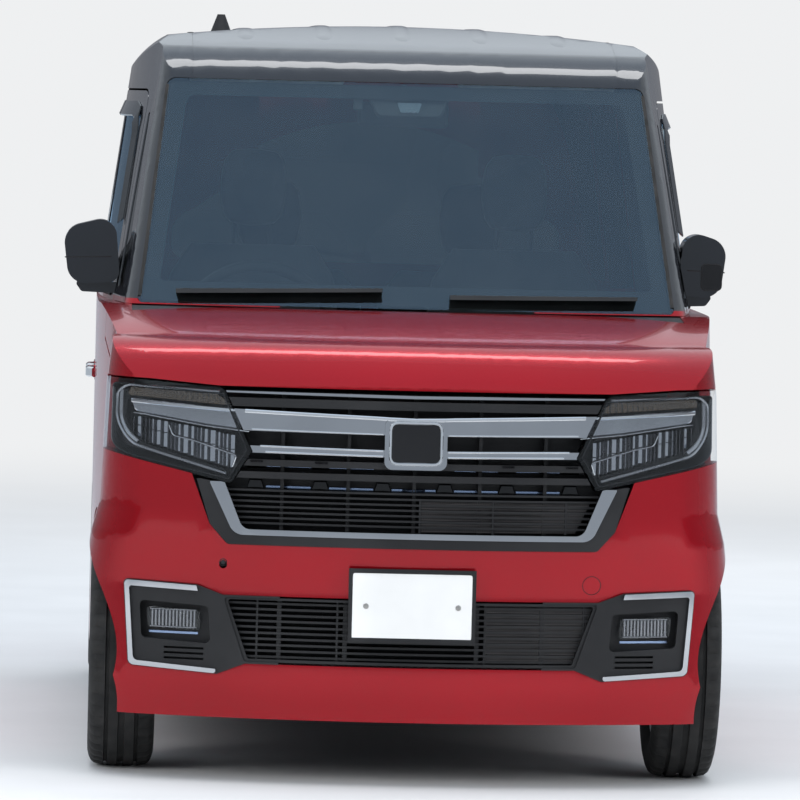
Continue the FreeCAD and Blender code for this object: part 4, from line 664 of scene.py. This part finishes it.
bezel = Shape().line(open_line(LAMP_BEZEL), Sunk(lamp, 12), 6, 3, 8, step=14)
outer_lip = open_line(((668, 893), (669, 822, 30), (652, 790, 20), (630, 772)))
bezel.line(outer_lip, Sunk(lamp, 17), 9, 3, 8, step=12)
bezel.both().done("lamp_bezels", SATIN, "chrome")
blade = Shape().plate(rounded(list(BLADE)), Sunk(lamp, 22), 6, 4, 2.5, 20)
blade.both().done("lamp_blades", DEEP_CHROME, "chrome")
lights = Shape().line([(645, 866), (520, 858), (402, 851)], Sunk(lamp, 15), 9, 4, 4, step=20)
hook = open_line(((560, 812), (551, 789, 8), (500, 778), (405, 748, 6), (414, 722)))
lights.line(hook, Sunk(lamp, 26), 3.4, 3, 3)
lights.line([(640, 838), (614, 835), (478, 814), (378, 804)], Sunk(lamp, 15), 3, 3, 3, step=20)
lights.both().done("lamp_lines", CHROME, "chrome")
strip = rounded([(452, 888), (650, 897, 6), (655, 877, 6), (412, 860)])
amber = Shape().plate(strip, Sunk(lamp, 30), 2, 3, 1.5, 20)
amber.both().done("lamp_indicators", AMBER, "lamp_glass")


def lamp_cells():
    """Upright fins with a small hollow reflector between each two."""
    fins = Shape()
    cups = Shape()
    x = 640.0
    while x > 412:
        high = height_on(CELL_TOP, x) - 2
        low = height_on(CELL_FOOT, x) + 2
        wide = 13.0 + 5.0 * math.sin(x * 0.11)
        fins.plate(box_outline(x - 1.0, low, x + 1.0, high), Sunk(lamp, 38), 10, 24, 0.4, 40)
        split = max(low + 12, min(high - 12, low + (high - low) * 0.55))
        for foot, top in ((low, split), (split, high)):
            outer = box_outline(x - wide + 1.5, foot + 1, x - 1.5, top - 1)
            middle = sum(outer, Vector((0, 0))) / 4
            inner = [middle + (point - middle) * 0.35 for point in outer]
            cups.loft([[lamp(u, v, -38) for u, v in outer], [lamp(u, v, -56) for u, v in inner]])
            bulb = circle(middle.x, middle.y, 3.2, 8)
            cups.loft([[lamp(u, v, -55) for u, v in bulb], [lamp(u, v, -47) for u, v in inset(bulb, 1.2)]])
        x -= wide
    fins.both().done("lamp_fins", SMOKED_FIN, "chrome")
    cups.both().done("lamp_reflectors", DEEP_CHROME, "chrome")


lamp_cells()

# Upper grille
bars = Skin(FRONT, "front_trim")
# Bright chrome strips along the edges of the deep-chrome bars: painted highlights.
edge_highlights = Shape()
edge_highlights.line([(-388, 852), (0, 841), (388, 852)], bars, 8, 2.5, 3)
for side in (1, -1):
    edge_highlights.line([(side * 352, 773), (side * 74, 769)], bars, 4, 1.5, 3)
    edge_highlights.line([(side * 340, 760), (side * 74, 757)], bars, 4, 1.5, 3)
    edge_highlights.line([(side * 372, 811), (side * 74, 807)], bars, 3, 1.2, 3)
edge_highlights.done("grille_edge_highlights", CHROME, "chrome")

plaque = rounded([(x, z, 22) for x, z in ((-61, 738), (61, 738), (61, 838), (-61, 838))], 6)
ring = Shape().line(inset(plaque, 3), Flat(FRONT, 3), 7, 4, 4, ring=True)
ring.done("badge_ring", CHROME, "chrome")
bed = Shape().plate(inset(plaque, 6), Flat(FRONT, 3), 1, 3, 1)
bed.done("badge_bed", GLOSS, "black_plastic")

grate = Skin(FRONT, "upper_grille")
slat_tops = Shape()
blocks = Shape()
for height, spans in ((726, ((92, 192), (234, 335))), (678, ((-50, 50), (92, 192), (234, 335)))):
    for low, high in spans:
        for side in (1, -1) if low > 0 else (1,):
            slat_tops.line([(side * low, height), (side * high, height)], grate, 8, 3, 6)
for height, places in ((728, (213, 360)), (682, (71, 213, 360))):
    for x in places:
        for side in (1, -1):
            outline = [(side * x - 20, height - 8), (side * x + 20, height - 8), (side * x + 14, height + 12),
                       (side * x - 14, height + 12)]
            blocks.plate([Vector(c) for c in outline], grate, 8, 6, 2.5)
# The slat tops get the blue plating, a painted sky reflection.
slat_tops.done("grille_slat_tops", PAINTED_SKY_PLATE, "black_plastic")
blocks.done("grille_blocks", GLOSS, "black_plastic")


class Bow:
    """Lays points on the nose's bowed plan, at a setback in millimetres."""

    def __init__(self, setback, radius=1650.0):
        self.setback = setback
        self.radius = radius
        self.out = Vector(FRONT)

    def __call__(self, u, v, rise=0.0):
        run = self.radius - math.sqrt(self.radius ** 2 - u * u)
        return at(u, 9 + self.setback + run - rise, v)


sheets = Shape()
sheets.plate([Vector(c) for c in ((14, 585), (372, 588), (404, 655), (14, 655))], Bow(30), 0.6, 0.6, 0.2)
sheets.plate([Vector(c) for c in ((168, 288), (374, 290), (418, 424), (168, 426))], Bow(22), 0.6, 0.6, 0.2)
sheets.done("grille_screens", SCREEN, "black_plastic")
posts = Shape()
POSTS = ((14, 582, 658, 28), (181, 582, 658, 28), (349, 584, 658, 28), (-350, 284, 426, 20),
         (-168, 284, 428, 20), (168, 284, 428, 20), (396, 340, 426, 20))
for x, low, high, depth in POSTS:
    posts.plate(box_outline(x - 2.5, low, x + 2.5, high), Bow(depth), 2, 4, 1)
posts.done("grille_posts", PLASTIC, "black_plastic")

# Number plates, their frames and screws
def number_plate(name, out, low, high, depth, body="body"):
    middle = (low + high) / 2
    skin = Flat(out, depth)
    sheet = Shape().plate(box_outline(-137, middle - 77, 137, middle + 77, 9), skin, 1.6, 0.4, 0.8)
    sheet.done(name + "_plate", PLATE, "plate_white", body)
    rim = box_outline(-140, low + 6, 140, high - 6, 10)
    edge = Shape().line(rim, skin, 8, 3.4, 1, ring=True)
    edge.line([(-138, low + 7), (138, low + 7)], skin, 12, 3.2, 1)
    edge.done(name + "_frame", PLASTIC, "black_plastic", body)
    heads = Shape()
    for x in (-105, 105):
        centre = skin(x, middle, 1.2)
        heads.lathe([(0, 6.5), (1.4, 6.2), (2.4, 4.2), (2.5, 0.4)], centre, out, 16)
    heads.done(name + "_screws", STEEL, "bright_steel", body)


number_plate("front", FRONT, 332, 502, 2.4)

# Bumper
bumper = Skin(FRONT, "front_bumper")
marks = Shape().line(circle(412, 470, 21, 32), bumper, 1.6, 0.5, 1, ring=True)
marks.line(circle(-430, 505, 8, 16), bumper, 2, 0.6, 1, ring=True)
marks.plate(circle(-430, 505, 5.5, 16), bumper, 0.8, 1, 0.4)
marks.done("bumper_marks", GLOSS, "black_plastic")

fog = Skin(FRONT, "fog_lamps")
fog_bars = Shape().plate(box_outline(482, 335, 596, 342, 2), Bow(36), 3, 4, 1).both()
# The fog bars get the blue plating, a painted sky reflection.
fog_bars.done("fog_bars", PAINTED_SKY_PLATE, "chrome")
fog_ribs = Shape()
for x in range(492, 592, 8):
    fog_ribs.plate(box_outline(x - 2.6, 353, x + 2.6, 391, 2), fog, 1.6, 1, 1.2)
for height in (352, 392):
    fog_ribs.line([(488, height), (592, height)], fog, 3, 2, 1)
fog_ribs.both().done("fog_reflectors", SATIN, "chrome")

# Windscreen
screen = Skin(FRONT, "windscreen")
outer_edge = fine(rounded([(-630, 1080, 14), (630, 1080, 14), (567, 1600, 24), (-567, 1600, 24)], 5), 40)
inner_edge = [Vector((u * 0.925, 1124 + (v - 1077) * 0.846)) for u, v in outer_edge]
ceramic = Shape()
band = ((outer_edge, -9.0), (inner_edge, -9.0), (inner_edge, -10.0), (outer_edge, -10.0))
ceramic.loft([[screen(u, v, rise) for u, v in edge] for edge, rise in band], ring=True)
ceramic.done("screen_border", GLOSS, "black_plastic")
rim_skin = Skin(FRONT, "windscreen", "body_side_left", "body_side_right", "roof", "cowl")
pillar_trim = Shape()
for side in (1, -1):
    rail = [(side * 630, 1090), (side * 601, 1340), (side * 572, 1590)]
    pillar_trim.line(rail, rim_skin, 9, 2.5, 4)
pillar_trim.done("screen_seal", RUBBER, "black_plastic")
cover = rounded([(-70, 1524, 14), (84, 1524, 14), (108, 1580, 8), (-94, 1580, 8)])
pod = Shape().plate(cover, Sunk(screen, 30), 12, 40, 5)
pod.plate(box_outline(-126, 1540, -104, 1566, 3), Sunk(screen, 24), 6, 10, 2)
pod.done("screen_pod", CABIN, "cabin_plastic")
opening = rounded([(-14, 1536, 4), (30, 1536, 4), (38, 1560, 4), (-22, 1560, 4)])
window = Shape().plate(opening, Sunk(screen, 17), 1, 2, 0.5)
window.done("pod_window", SATIN, "cabin_plastic")


def blades():
    """Rubber lips and their spines under the CAD wiper arms."""
    spine = Shape()
    for low, high in (((-543, 1105), (-62, 1117)), ((102, 1105), (543, 1110))):
        spine.line([low, high], screen, 3, 18, 0.5, step=60)
    spine.done("wiper_blades", RUBBER, "black_plastic")


blades()

# Doors, mirrors and trims, given for the left side
HANDLE_HEIGHT = 872
HANDLE_LIFT = 15
BELT_HEIGHT = 1087
VISOR_HEIGHT = 1545
door = Skin(LEFT, "front_door_left")
slide = Skin(LEFT, "sliding_doors")
flank = Skin(LEFT, "body_side_left")


def handle(skin, low, high, height):
    """A bowed pull over a shallow cup."""
    grip = Shape()
    path = []
    for i in range(15):
        t = i / 14
        lift = HANDLE_LIFT * min(1.0, 4.2 * t, 4.2 * (1 - t))
        path.append(skin(low + (high - low) * t, height, lift - 1))
    section = [(-11, -4), (-13, 1), (-9, 6), (9, 6), (13, 1), (11, -4)]
    return grip.sweep(path, section, skin.out)


handle(door, 1560, 1722, HANDLE_HEIGHT).pair("door_handle", CHROME, "chrome", "front_door")
handle(slide, 1776, 1938, HANDLE_HEIGHT).both().done("sliding_door_handles", CHROME, "chrome")
cup = box_outline(1582, HANDLE_HEIGHT - 20, 1700, HANDLE_HEIGHT + 20, 19)
Shape().plate(cup, door, 0.8, 1, 0.6).pair("door_handle_cup", PLASTIC, "black_plastic", "front_door")
cup = box_outline(1798, HANDLE_HEIGHT - 20, 1916, HANDLE_HEIGHT + 20, 19)
Shape().plate(cup, slide, 0.8, 1, 0.6).both().done("sliding_door_cups", PLASTIC, "black_plastic")
belt = Shape().line([(1000, BELT_HEIGHT), (1735, BELT_HEIGHT)], door, 13, 4, 2)
belt.pair("belt_seal", RUBBER, "black_plastic", "front_door")
belt = Shape().line([(1762, BELT_HEIGHT), (2598, BELT_HEIGHT)], slide, 13, 4, 2)
belt.line([(2626, BELT_HEIGHT), (3140, BELT_HEIGHT)], flank, 13, 4, 2)
belt.both().done("belt_seals", RUBBER, "black_plastic")
rail = Shape().line([(2636, 948), (3290, 948)], flank, 17, 1.2, 2)
rail.both().done("slide_rails", GLOSS, "black_plastic")
VISOR = [(-3, 0.5), (-3, 3.0), (30, 17), (34, 14.5), (2, 0.5)]
frame_top = [(1052, 1264), (1148, 1484), (1176, 1534), (1230, VISOR_HEIGHT), (1712, VISOR_HEIGHT)]
path = [door(s, z) for s, z in fine(frame_top, 40, False)]
Shape().sweep(path, VISOR, LEFT).pair("door_visor", SMOKE, "dark_glass", "front_door")
path = [slide(s, z) for s, z in fine([(1780, VISOR_HEIGHT), (2580, VISOR_HEIGHT)], 60, False)]
Shape().sweep(path, VISOR, LEFT).both().done("slide_visors", SMOKE, "dark_glass")


def mirror_glass(side, inner, outer, name):
    """The glass, its frame, and the small round-cornered lens on the passenger's housing."""
    outline = rounded([(side * x, z, 34) for x, z in
                       ((inner + 13, 1128), (outer - 30, 1120), (outer - 14, 1236), (inner + 24, 1262))], 5)
    back = Flat(REAR, 988)
    body = "front_door_" + name
    Shape().plate(outline, back, 2, 3, 1).done("mirror_glass_" + name, MIRROR, "chrome", body)
    housing = Skin(FRONT, "mirror_" + name)
    cap = Shape().line([(side * (inner + 22), 1176), (side * (outer - 6), 1172)], housing, 3, 0.8, 1)
    cap.done("mirror_line_" + name, GLOSS, "black_paint", body)
    if side > 0:
        lens = box_outline(717, 1129, 765, 1191, 12)
        Shape().plate(lens, housing, 2.5, 2, 1.2).done("mirror_lens", GLOSS, "black_plastic", body)
        rim = Shape().line(lens, housing, 3, 3.2, 1, ring=True)
        rim.done("mirror_lens_rim", PLASTIC, "black_plastic", body)


mirror_glass(1, 660, 778, "left")
mirror_glass(-1, 676, 815, "right")

# Roof
roof = Skin(TOP, "roof")
beads = Shape()
bead = [(-24, -1), (-15, 1.6), (-7, 3), (7, 3), (15, 1.6), (24, -1)]
for x in (-380, -190, 0, 190, 380):
    beads.sweep([roof(x, s, -6 if s == 1160 else 0) for s in range(1160, 2841, 80)], bead, TOP)
beads.done("roof_beads", BLACK, "black_paint")
ditch = Shape()
for side in (1, -1):
    ditch.line([(side * 512, 1420), (side * 512, 3080)], roof, 11, 1.5, 2, step=60)
ditch.done("roof_mouldings", RUBBER, "black_plastic")

# Tail
gate = Skin(REAR, "tailgate")
tail = Skin(REAR, "tail_lamps")
guide = open_line(((690, 790), (652, 790, 10), (652, 1080, 10), (690, 1080)))
Shape().line(guide, tail, 9, 2, 2).both().done("tail_guides", RED_LENS, "tail_lens")
clear = Shape().plate(box_outline(662, 806, 700, 850, 5), tail, 1.4, 2, 0.8).both()
clear.done("tail_reverse", CLEAR_CELLS, "lamp_glass")
turn = Shape().plate(box_outline(662, 858, 700, 900, 5), tail, 1.4, 2, 0.8).both()
turn.done("tail_turn", AMBER, "lamp_glass")
Shape().line([(-212, 950), (212, 950)], gate, 26, 14, 3).done("gate_garnish", CHROME, "chrome", "tailgate")
pull = Shape().plate(box_outline(-70, 926, 70, 938, 4), gate, 10, 3, 2)
pull.done("gate_handle", PLASTIC, "black_plastic", "tailgate")
stop = Shape().plate(box_outline(-120, 1640, 120, 1658, 6), gate, 5, 3, 2)
stop.done("high_stop_lamp", RED_LENS, "tail_lens", "tailgate")
pane_skin = Skin(REAR, "tailgate_glass")
number_plate("rear", REAR, 750, 920, (gate(0, 840).y + HALF_LENGTH) * 1000 + 1.5, "tailgate")
wiper = Shape().line([(0, 1130), (-170, 1152), (-330, 1150)], pane_skin, 12, 12, 0)
wiper.line([(-420, 1150), (-120, 1146)], pane_skin, 8, 16, 0)
wiper.lathe([(0, 22), (14, 20), (18, 12), (19, 1)], pane_skin(0, 1130), REAR, 20)
wiper.done("rear_wiper", PLASTIC, "black_plastic", "tailgate")
skirt = Skin(REAR, "rear_bumper")
reflector = Shape().plate(box_outline(520, 318, 640, 346, 8), skirt, 2, 2, 1).both()
reflector.done("rear_reflectors", RED_LENS, "tail_lens")


# Wheels
def tread_profile(cut):
    """Half-open section of a tyre from bead to bead; cut lowers the shoulder for a sipe."""
    side = [(-52, 183), (-60, 184), (-66, 192), (-74, 210), (-77, 228), (-76.5, 244), (-73, 258 - cut * 0.5),
            (-68, 268 - cut), (-60, 274.2 - cut), (-44, 277.0 - cut)]
    grooves = [(-40, 277.4), (-38, 270), (-32, 270), (-30, 277.9), (-8, 278.4), (-6, 271), (0, 271)]
    half = side + grooves
    return half + [(-x, r) for x, r in reversed(half[:-1])]


def make_tyre(name, body, x):
    """A tyre with round grooves and cross sipes."""
    shape = Shape()
    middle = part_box("tyre_" + name)
    centre = (Vector(middle[0]) + Vector(middle[1])) / 2
    steps = 216
    loops = []
    for i in range(steps):
        angle = math.tau * i / steps
        cut = 5.0 if i % 4 == 0 else 0.0
        loops.append([centre + Vector((a / 1000, r * math.cos(angle) / 1000, r * math.sin(angle) / 1000))
                      for a, r in tread_profile(cut)])
    shape.loft(loops, ring=True)
    piece = shape.done("road_tyre_" + name, RUBBER, "tyre", body, 40)
    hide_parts("tyre_" + name)
    trim = Shape()
    out = Vector((1 if x > 0 else -1, 0, 0))
    hub = Vector((0, centre.y, centre.z))
    rim_low, rim_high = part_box("rim_" + name)
    face_x = rim_high[0] if x > 0 else rim_low[0]
    hub.x = face_x - out.x * 0.03
    trim.lathe([(-8, 26), (6, 26), (11, 22), (12.5, 12), (13, 1)], hub, out, 28)
    for i in range(4):
        angle = math.tau * (i + 0.5) / 4
        spot = hub + Vector((0, math.cos(angle), math.sin(angle))) * 0.05
        trim.lathe([(-10, 9), (2, 9), (5, 7), (6, 1)], spot, out, 6)
    trim.done("hub_trim_" + name, STEEL, "bright_steel", body, 24)


for end in ("front", "rear"):
    for side_name, sign in (("left", 1), ("right", -1)):
        make_tyre(end + "_" + side_name, "wheel_" + end + "_" + side_name, sign)


def coil(side):
    """A spring round the front strut."""
    foot = at(side * 484, 475, 576)
    head = at(side * 447, 475, 690)
    axis = (head - foot).normalized()
    across = axis.orthogonal().normalized()
    around = axis.cross(across)
    path = []
    turns = 3
    steps = turns * 14
    for i in range(steps + 1):
        t = i / steps
        angle = math.tau * turns * t
        path.append(foot.lerp(head, t) + (across * math.cos(angle) + around * math.sin(angle)) * 0.052)
    return Shape().tube(path, 5.5, 6)


for side_name, sign in (("left", 1), ("right", -1)):
    coil(sign).done("spring_" + side_name, UNDER, "dark_steel")


# Seats and cabin
SEAT_START = 1470
SEAT_OFFSET = 335
BENCH_START = 2390
BENCH_OFFSET = 248
BENCH_HEAD_SHARE = 270 / BENCH_OFFSET
PRESSURE = 4
SWELL_FRAMES = 20
def padded_form(name, size, voxel, cap, channels):
    """A seat pad at the origin: a rounded block swells as cloth, then gets its sewn channels."""
    wide, deep, tall = size
    shape = Shape()
    steps = 8
    loops = []
    for i in range(steps + 1):
        t = i / steps * 2 - 1
        pull = 1 - 0.10 * abs(t) ** 4
        crown = math.sqrt(max(0.0, 1 - abs(t) ** 5))
        outline = box_outline(-wide / 2 * pull, -deep / 2, wide / 2 * pull, deep / 2, min(wide, deep) * 0.22)
        outline = [point * (0.80 + 0.2 * crown) for point in outline]
        loops.append([Vector((u / 1000, v / 1000, t * tall / 2000)) for u, v in outline])
    shape.loft(loops)
    form = new_object(name, shape.verts, shape.faces)
    remesh = form.modifiers.new("remesh", "REMESH")
    remesh.mode = "VOXEL"
    remesh.voxel_size = voxel
    bake(form)
    swell(form, cap)
    for vertex in form.data.vertices:
        place = vertex.co
        for axis, middle, depth in channels:
            gap = abs(place[axis] - middle / 1000)
            edge = 1 - abs(place.z) / (tall / 2000) * 0.4
            if gap < 0.012:
                place.y -= math.copysign(depth / 1000 * (1 - gap / 0.012) * edge, place.y)
    form.data.polygons.foreach_set("use_smooth", [True] * len(form.data.polygons))
    return form


def bake(form):
    """Puts what the modifiers make into the mesh."""
    graph = bpy.context.evaluated_depsgraph_get()
    made = bpy.data.meshes.new_from_object(form.evaluated_get(graph))
    form.modifiers.clear()
    form.data = made


def swell(form, cap):
    """Blows the closed mesh up as cloth, no point further than cap metres."""
    rest = [vertex.co.copy() for vertex in form.data.vertices]
    cloth = form.modifiers.new("cloth", "CLOTH")
    cloth.settings.use_pressure = True
    cloth.settings.uniform_pressure_force = PRESSURE
    cloth.settings.effector_weights.gravity = 0
    scene = bpy.context.scene
    for step in range(1, SWELL_FRAMES + 1):
        scene.frame_set(step)
    bake(form)
    scene.frame_set(1)
    for vertex, start in zip(form.data.vertices, rest):
        move = vertex.co - start
        if move.length > cap:
            vertex.co = start + move.normalized() * cap


def place_pad(form, name, middle, lean):
    """A copy of a pad in its place; lean turns its top rearwards, in degrees."""
    mesh = form.data.copy()
    turn = Matrix.Rotation(math.radians(-lean), 4, "X")
    mesh.transform(Matrix.Translation(middle) @ turn)
    mesh.materials.clear()
    mesh.materials.append(CLOTH)
    pad = bpy.data.objects.new(name, mesh)
    bpy.context.scene.collection.objects.link(pad)
    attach(pad, "body")
    return pad


seat_squab = padded_form("form_squab", (456, 500, 128), 0.0065, 0.008, ((0, -140, 7), (0, 140, 7)))
seat_back = padded_form("form_back", (456, 84, 650), 0.0065, 0.008, ((0, -135, 7), (0, 135, 7), (2, 60, 6)))
seat_head = padded_form("form_head", (160, 64, 186), 0.006, 0.006, ())
bench_squab = padded_form("form_bench_squab", (485, 450, 120), 0.0065, 0.008, ((0, -110, 7), (0, 110, 7)))
bench_back = padded_form("form_bench_back", (485, 84, 620), 0.0065, 0.008, ((0, -110, 7), (0, 110, 7)))
front_bits = Shape()
for side_name, x in (("left", SEAT_OFFSET), ("right", -SEAT_OFFSET)):
    pad = place_pad(seat_squab, "seat_squab_" + side_name, at(x, SEAT_START + 268, 582), 2)
    if side_name == "left":
        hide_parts("front_seats")
    place_pad(seat_back, "seat_back_" + side_name, at(x, SEAT_START + 566, 872), 12.2)
    place_pad(seat_head, "seat_head_" + side_name, at(x, SEAT_START + 650, 1334), 7)
    front_bits.block((x - 185, SEAT_START + 66, 226), (x + 185, SEAT_START + 434, 500), 12)
    front_bits.block((x - 238, SEAT_START + 120, 470), (x - 206, SEAT_START + 500, 560), 8)
    front_bits.block((x + 206, SEAT_START + 120, 470), (x + 238, SEAT_START + 500, 560), 8)
    for dx in (-45, 45):
        front_bits.tube([at(x + dx, 2110, 1180), at(x + dx, 2116, 1270)], 6)
front_bits.done("seat_bases", CABIN, "cabin_plastic")
bench_bits = Shape().block((-485, 2415, 401), (485, 2825, 478), 12)
for side_name, x in (("left", BENCH_OFFSET), ("right", -BENCH_OFFSET)):
    pad = place_pad(bench_squab, "bench_squab_" + side_name, at(x, BENCH_START + 236, 532), 2)
    if side_name == "left":
        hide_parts("rear_seat")
    place_pad(bench_back, "bench_back_" + side_name, at(x, BENCH_START + 512, 806), 9)
    head_x = x * BENCH_HEAD_SHARE
    place_pad(seat_head, "bench_head_" + side_name, at(head_x, BENCH_START + 590, 1246), 5)
    for dx in (-45, 45):
        bench_bits.tube([at(head_x + dx, 2960, 1090), at(head_x + dx, 2966, 1190)], 6)
bench_bits.done("bench_base", CABIN, "cabin_plastic")

cabin = Shape()
cabin.block((-120, 1020, 830), (120, 1158, 990), 10)
cabin.block((-70, 1120, 700), (70, 1190, 800), 12)
for x in (-560, -190, 190, 560):
    cabin.block((x - 55, 1062, 905), (x + 55, 1160, 962), 10)
cabin.done("dash_blocks", GLOSS, "cabin_plastic")
visors = Shape()
for x in (-330, 330):
    visors.block((x - 190, 1190, 1600), (x + 190, 1330, 1618), 8)
visors.done("sun_visors", HEADLINER, "cabin_plastic")
mirror = Shape().block((-110, 1108, 1500), (110, 1130, 1560), 8)
mirror.tube([at(0, 1118, 1550), at(0, 1092, 1600)], 7)
mirror.done("inside_mirror", CABIN, "cabin_plastic")

for form in (seat_squab, seat_back, seat_head, bench_squab, bench_back):
    bpy.data.objects.remove(form)


# Floor and light
BACKGROUND = (0.86, 0.87, 0.88, 1)


def make_studio():
    scene = bpy.context.scene
    scene.view_settings.view_transform = "Standard"
    scene.view_settings.look = "None"
    world = bpy.data.worlds.new("studio")
    world.use_nodes = True
    tree = world.node_tree
    link = tree.links.new
    back = tree.nodes["Background"]
    coords = tree.nodes.new("ShaderNodeTexCoord")
    split = tree.nodes.new("ShaderNodeSeparateXYZ")
    ramp = tree.nodes.new("ShaderNodeValToRGB")
    stops = ramp.color_ramp.elements
    stops[0].position = 0.48
    stops[0].color = (0.16, 0.16, 0.17, 1)
    stops[1].position = 0.94
    stops[1].color = (0.72, 0.84, 1.0, 1)
    for place, colour in ((0.56, (0.26, 0.28, 0.32)), (0.68, (0.84, 0.92, 1.0)), (0.80, (0.84, 0.92, 1.0))):
        stops.new(place).color = (*colour, 1)
    lift = tree.nodes.new("ShaderNodeMapRange")
    lift.inputs["From Min"].default_value = -1
    path = tree.nodes.new("ShaderNodeLightPath")
    mix = tree.nodes.new("ShaderNodeMix")
    mix.data_type = "RGBA"
    mix.inputs[7].default_value = BACKGROUND
    link(coords.outputs["Generated"], split.inputs[0])
    link(split.outputs["Z"], lift.inputs["Value"])
    link(lift.outputs["Result"], ramp.inputs["Fac"])
    link(ramp.outputs["Color"], mix.inputs[6])
    link(path.outputs["Is Camera Ray"], mix.inputs[0])
    link(mix.outputs[2], back.inputs["Color"])
    scene.world = world

    graph = Graph("floor")
    shader = graph.shader(Roughness=0.75, Specular_IOR_Level=0.2)
    graph.link(graph.ramp(graph.noise(2.0, 4.0), [(0.3, (0.60, 0.60, 0.60)), (0.7, (0.64, 0.64, 0.64))]),
               shader.inputs["Base Color"])
    glow = graph.node("ShaderNodeEmission", {"Color": BACKGROUND})
    coords = graph.node("ShaderNodeTexCoord")
    far = graph.node("ShaderNodeVectorMath", operation="LENGTH")
    graph.link(coords.outputs["Object"], far.inputs[0])
    near_far = {"From Min": 2.5, "From Max": 14.0}
    fade = graph.node("ShaderNodeMapRange", near_far, interpolation_type="SMOOTHSTEP")
    graph.link(far.outputs["Value"], fade.inputs["Value"])
    path = graph.node("ShaderNodeLightPath")
    seen = graph.node("ShaderNodeMath", operation="MULTIPLY")
    graph.link(path.outputs["Is Camera Ray"], seen.inputs[0])
    graph.link(fade.outputs["Result"], seen.inputs[1])
    mix = graph.node("ShaderNodeMixShader")
    graph.link(seen.outputs[0], mix.inputs["Fac"])
    graph.link(shader.outputs[0], mix.inputs[1])
    graph.link(glow.outputs[0], mix.inputs[2])
    floor_finish = graph.done(mix)
    reach = 120
    corners = [(-reach, -reach, 0), (reach, -reach, 0), (reach, reach, 0), (-reach, reach, 0)]
    ground = new_object("ground", corners, [(0, 1, 2, 3)])
    ground.data.materials.append(floor_finish)
    ground.location.z = -0.0005


def softbox(name, place, target, width, height, power, mirrored=True):
    data = bpy.data.lights.new(name, "AREA")
    data.shape = "RECTANGLE"
    data.size = width
    data.size_y = height
    data.energy = power
    lamp = bpy.data.objects.new(name, data)
    bpy.context.scene.collection.objects.link(lamp)
    lamp.visible_glossy = mirrored
    lamp.location = place
    lamp.rotation_euler = (Vector(target) - Vector(place)).to_track_quat("-Z", "Y").to_euler()


make_studio()
softbox("overhead", (0, -2.2, 6.0), (0, -0.8, 0.6), 5.0, 4.0, 250, False)
softbox("front_left", (-5.0, -6.5, 3.0), (0, -1.2, 0.7), 3.0, 2.4, 210, False)
softbox("front_right", (5.0, -5.5, 2.4), (0, -1.2, 0.7), 2.0, 2.4, 130, False)
softbox("streak", (0, 0.4, 5.0), (0, 0.4, 0), 3.6, 0.7, 45)
softbox("back", (2.0, 7.0, 4.0), (0, 1.0, 0.8), 4.0, 3.0, 140, False)
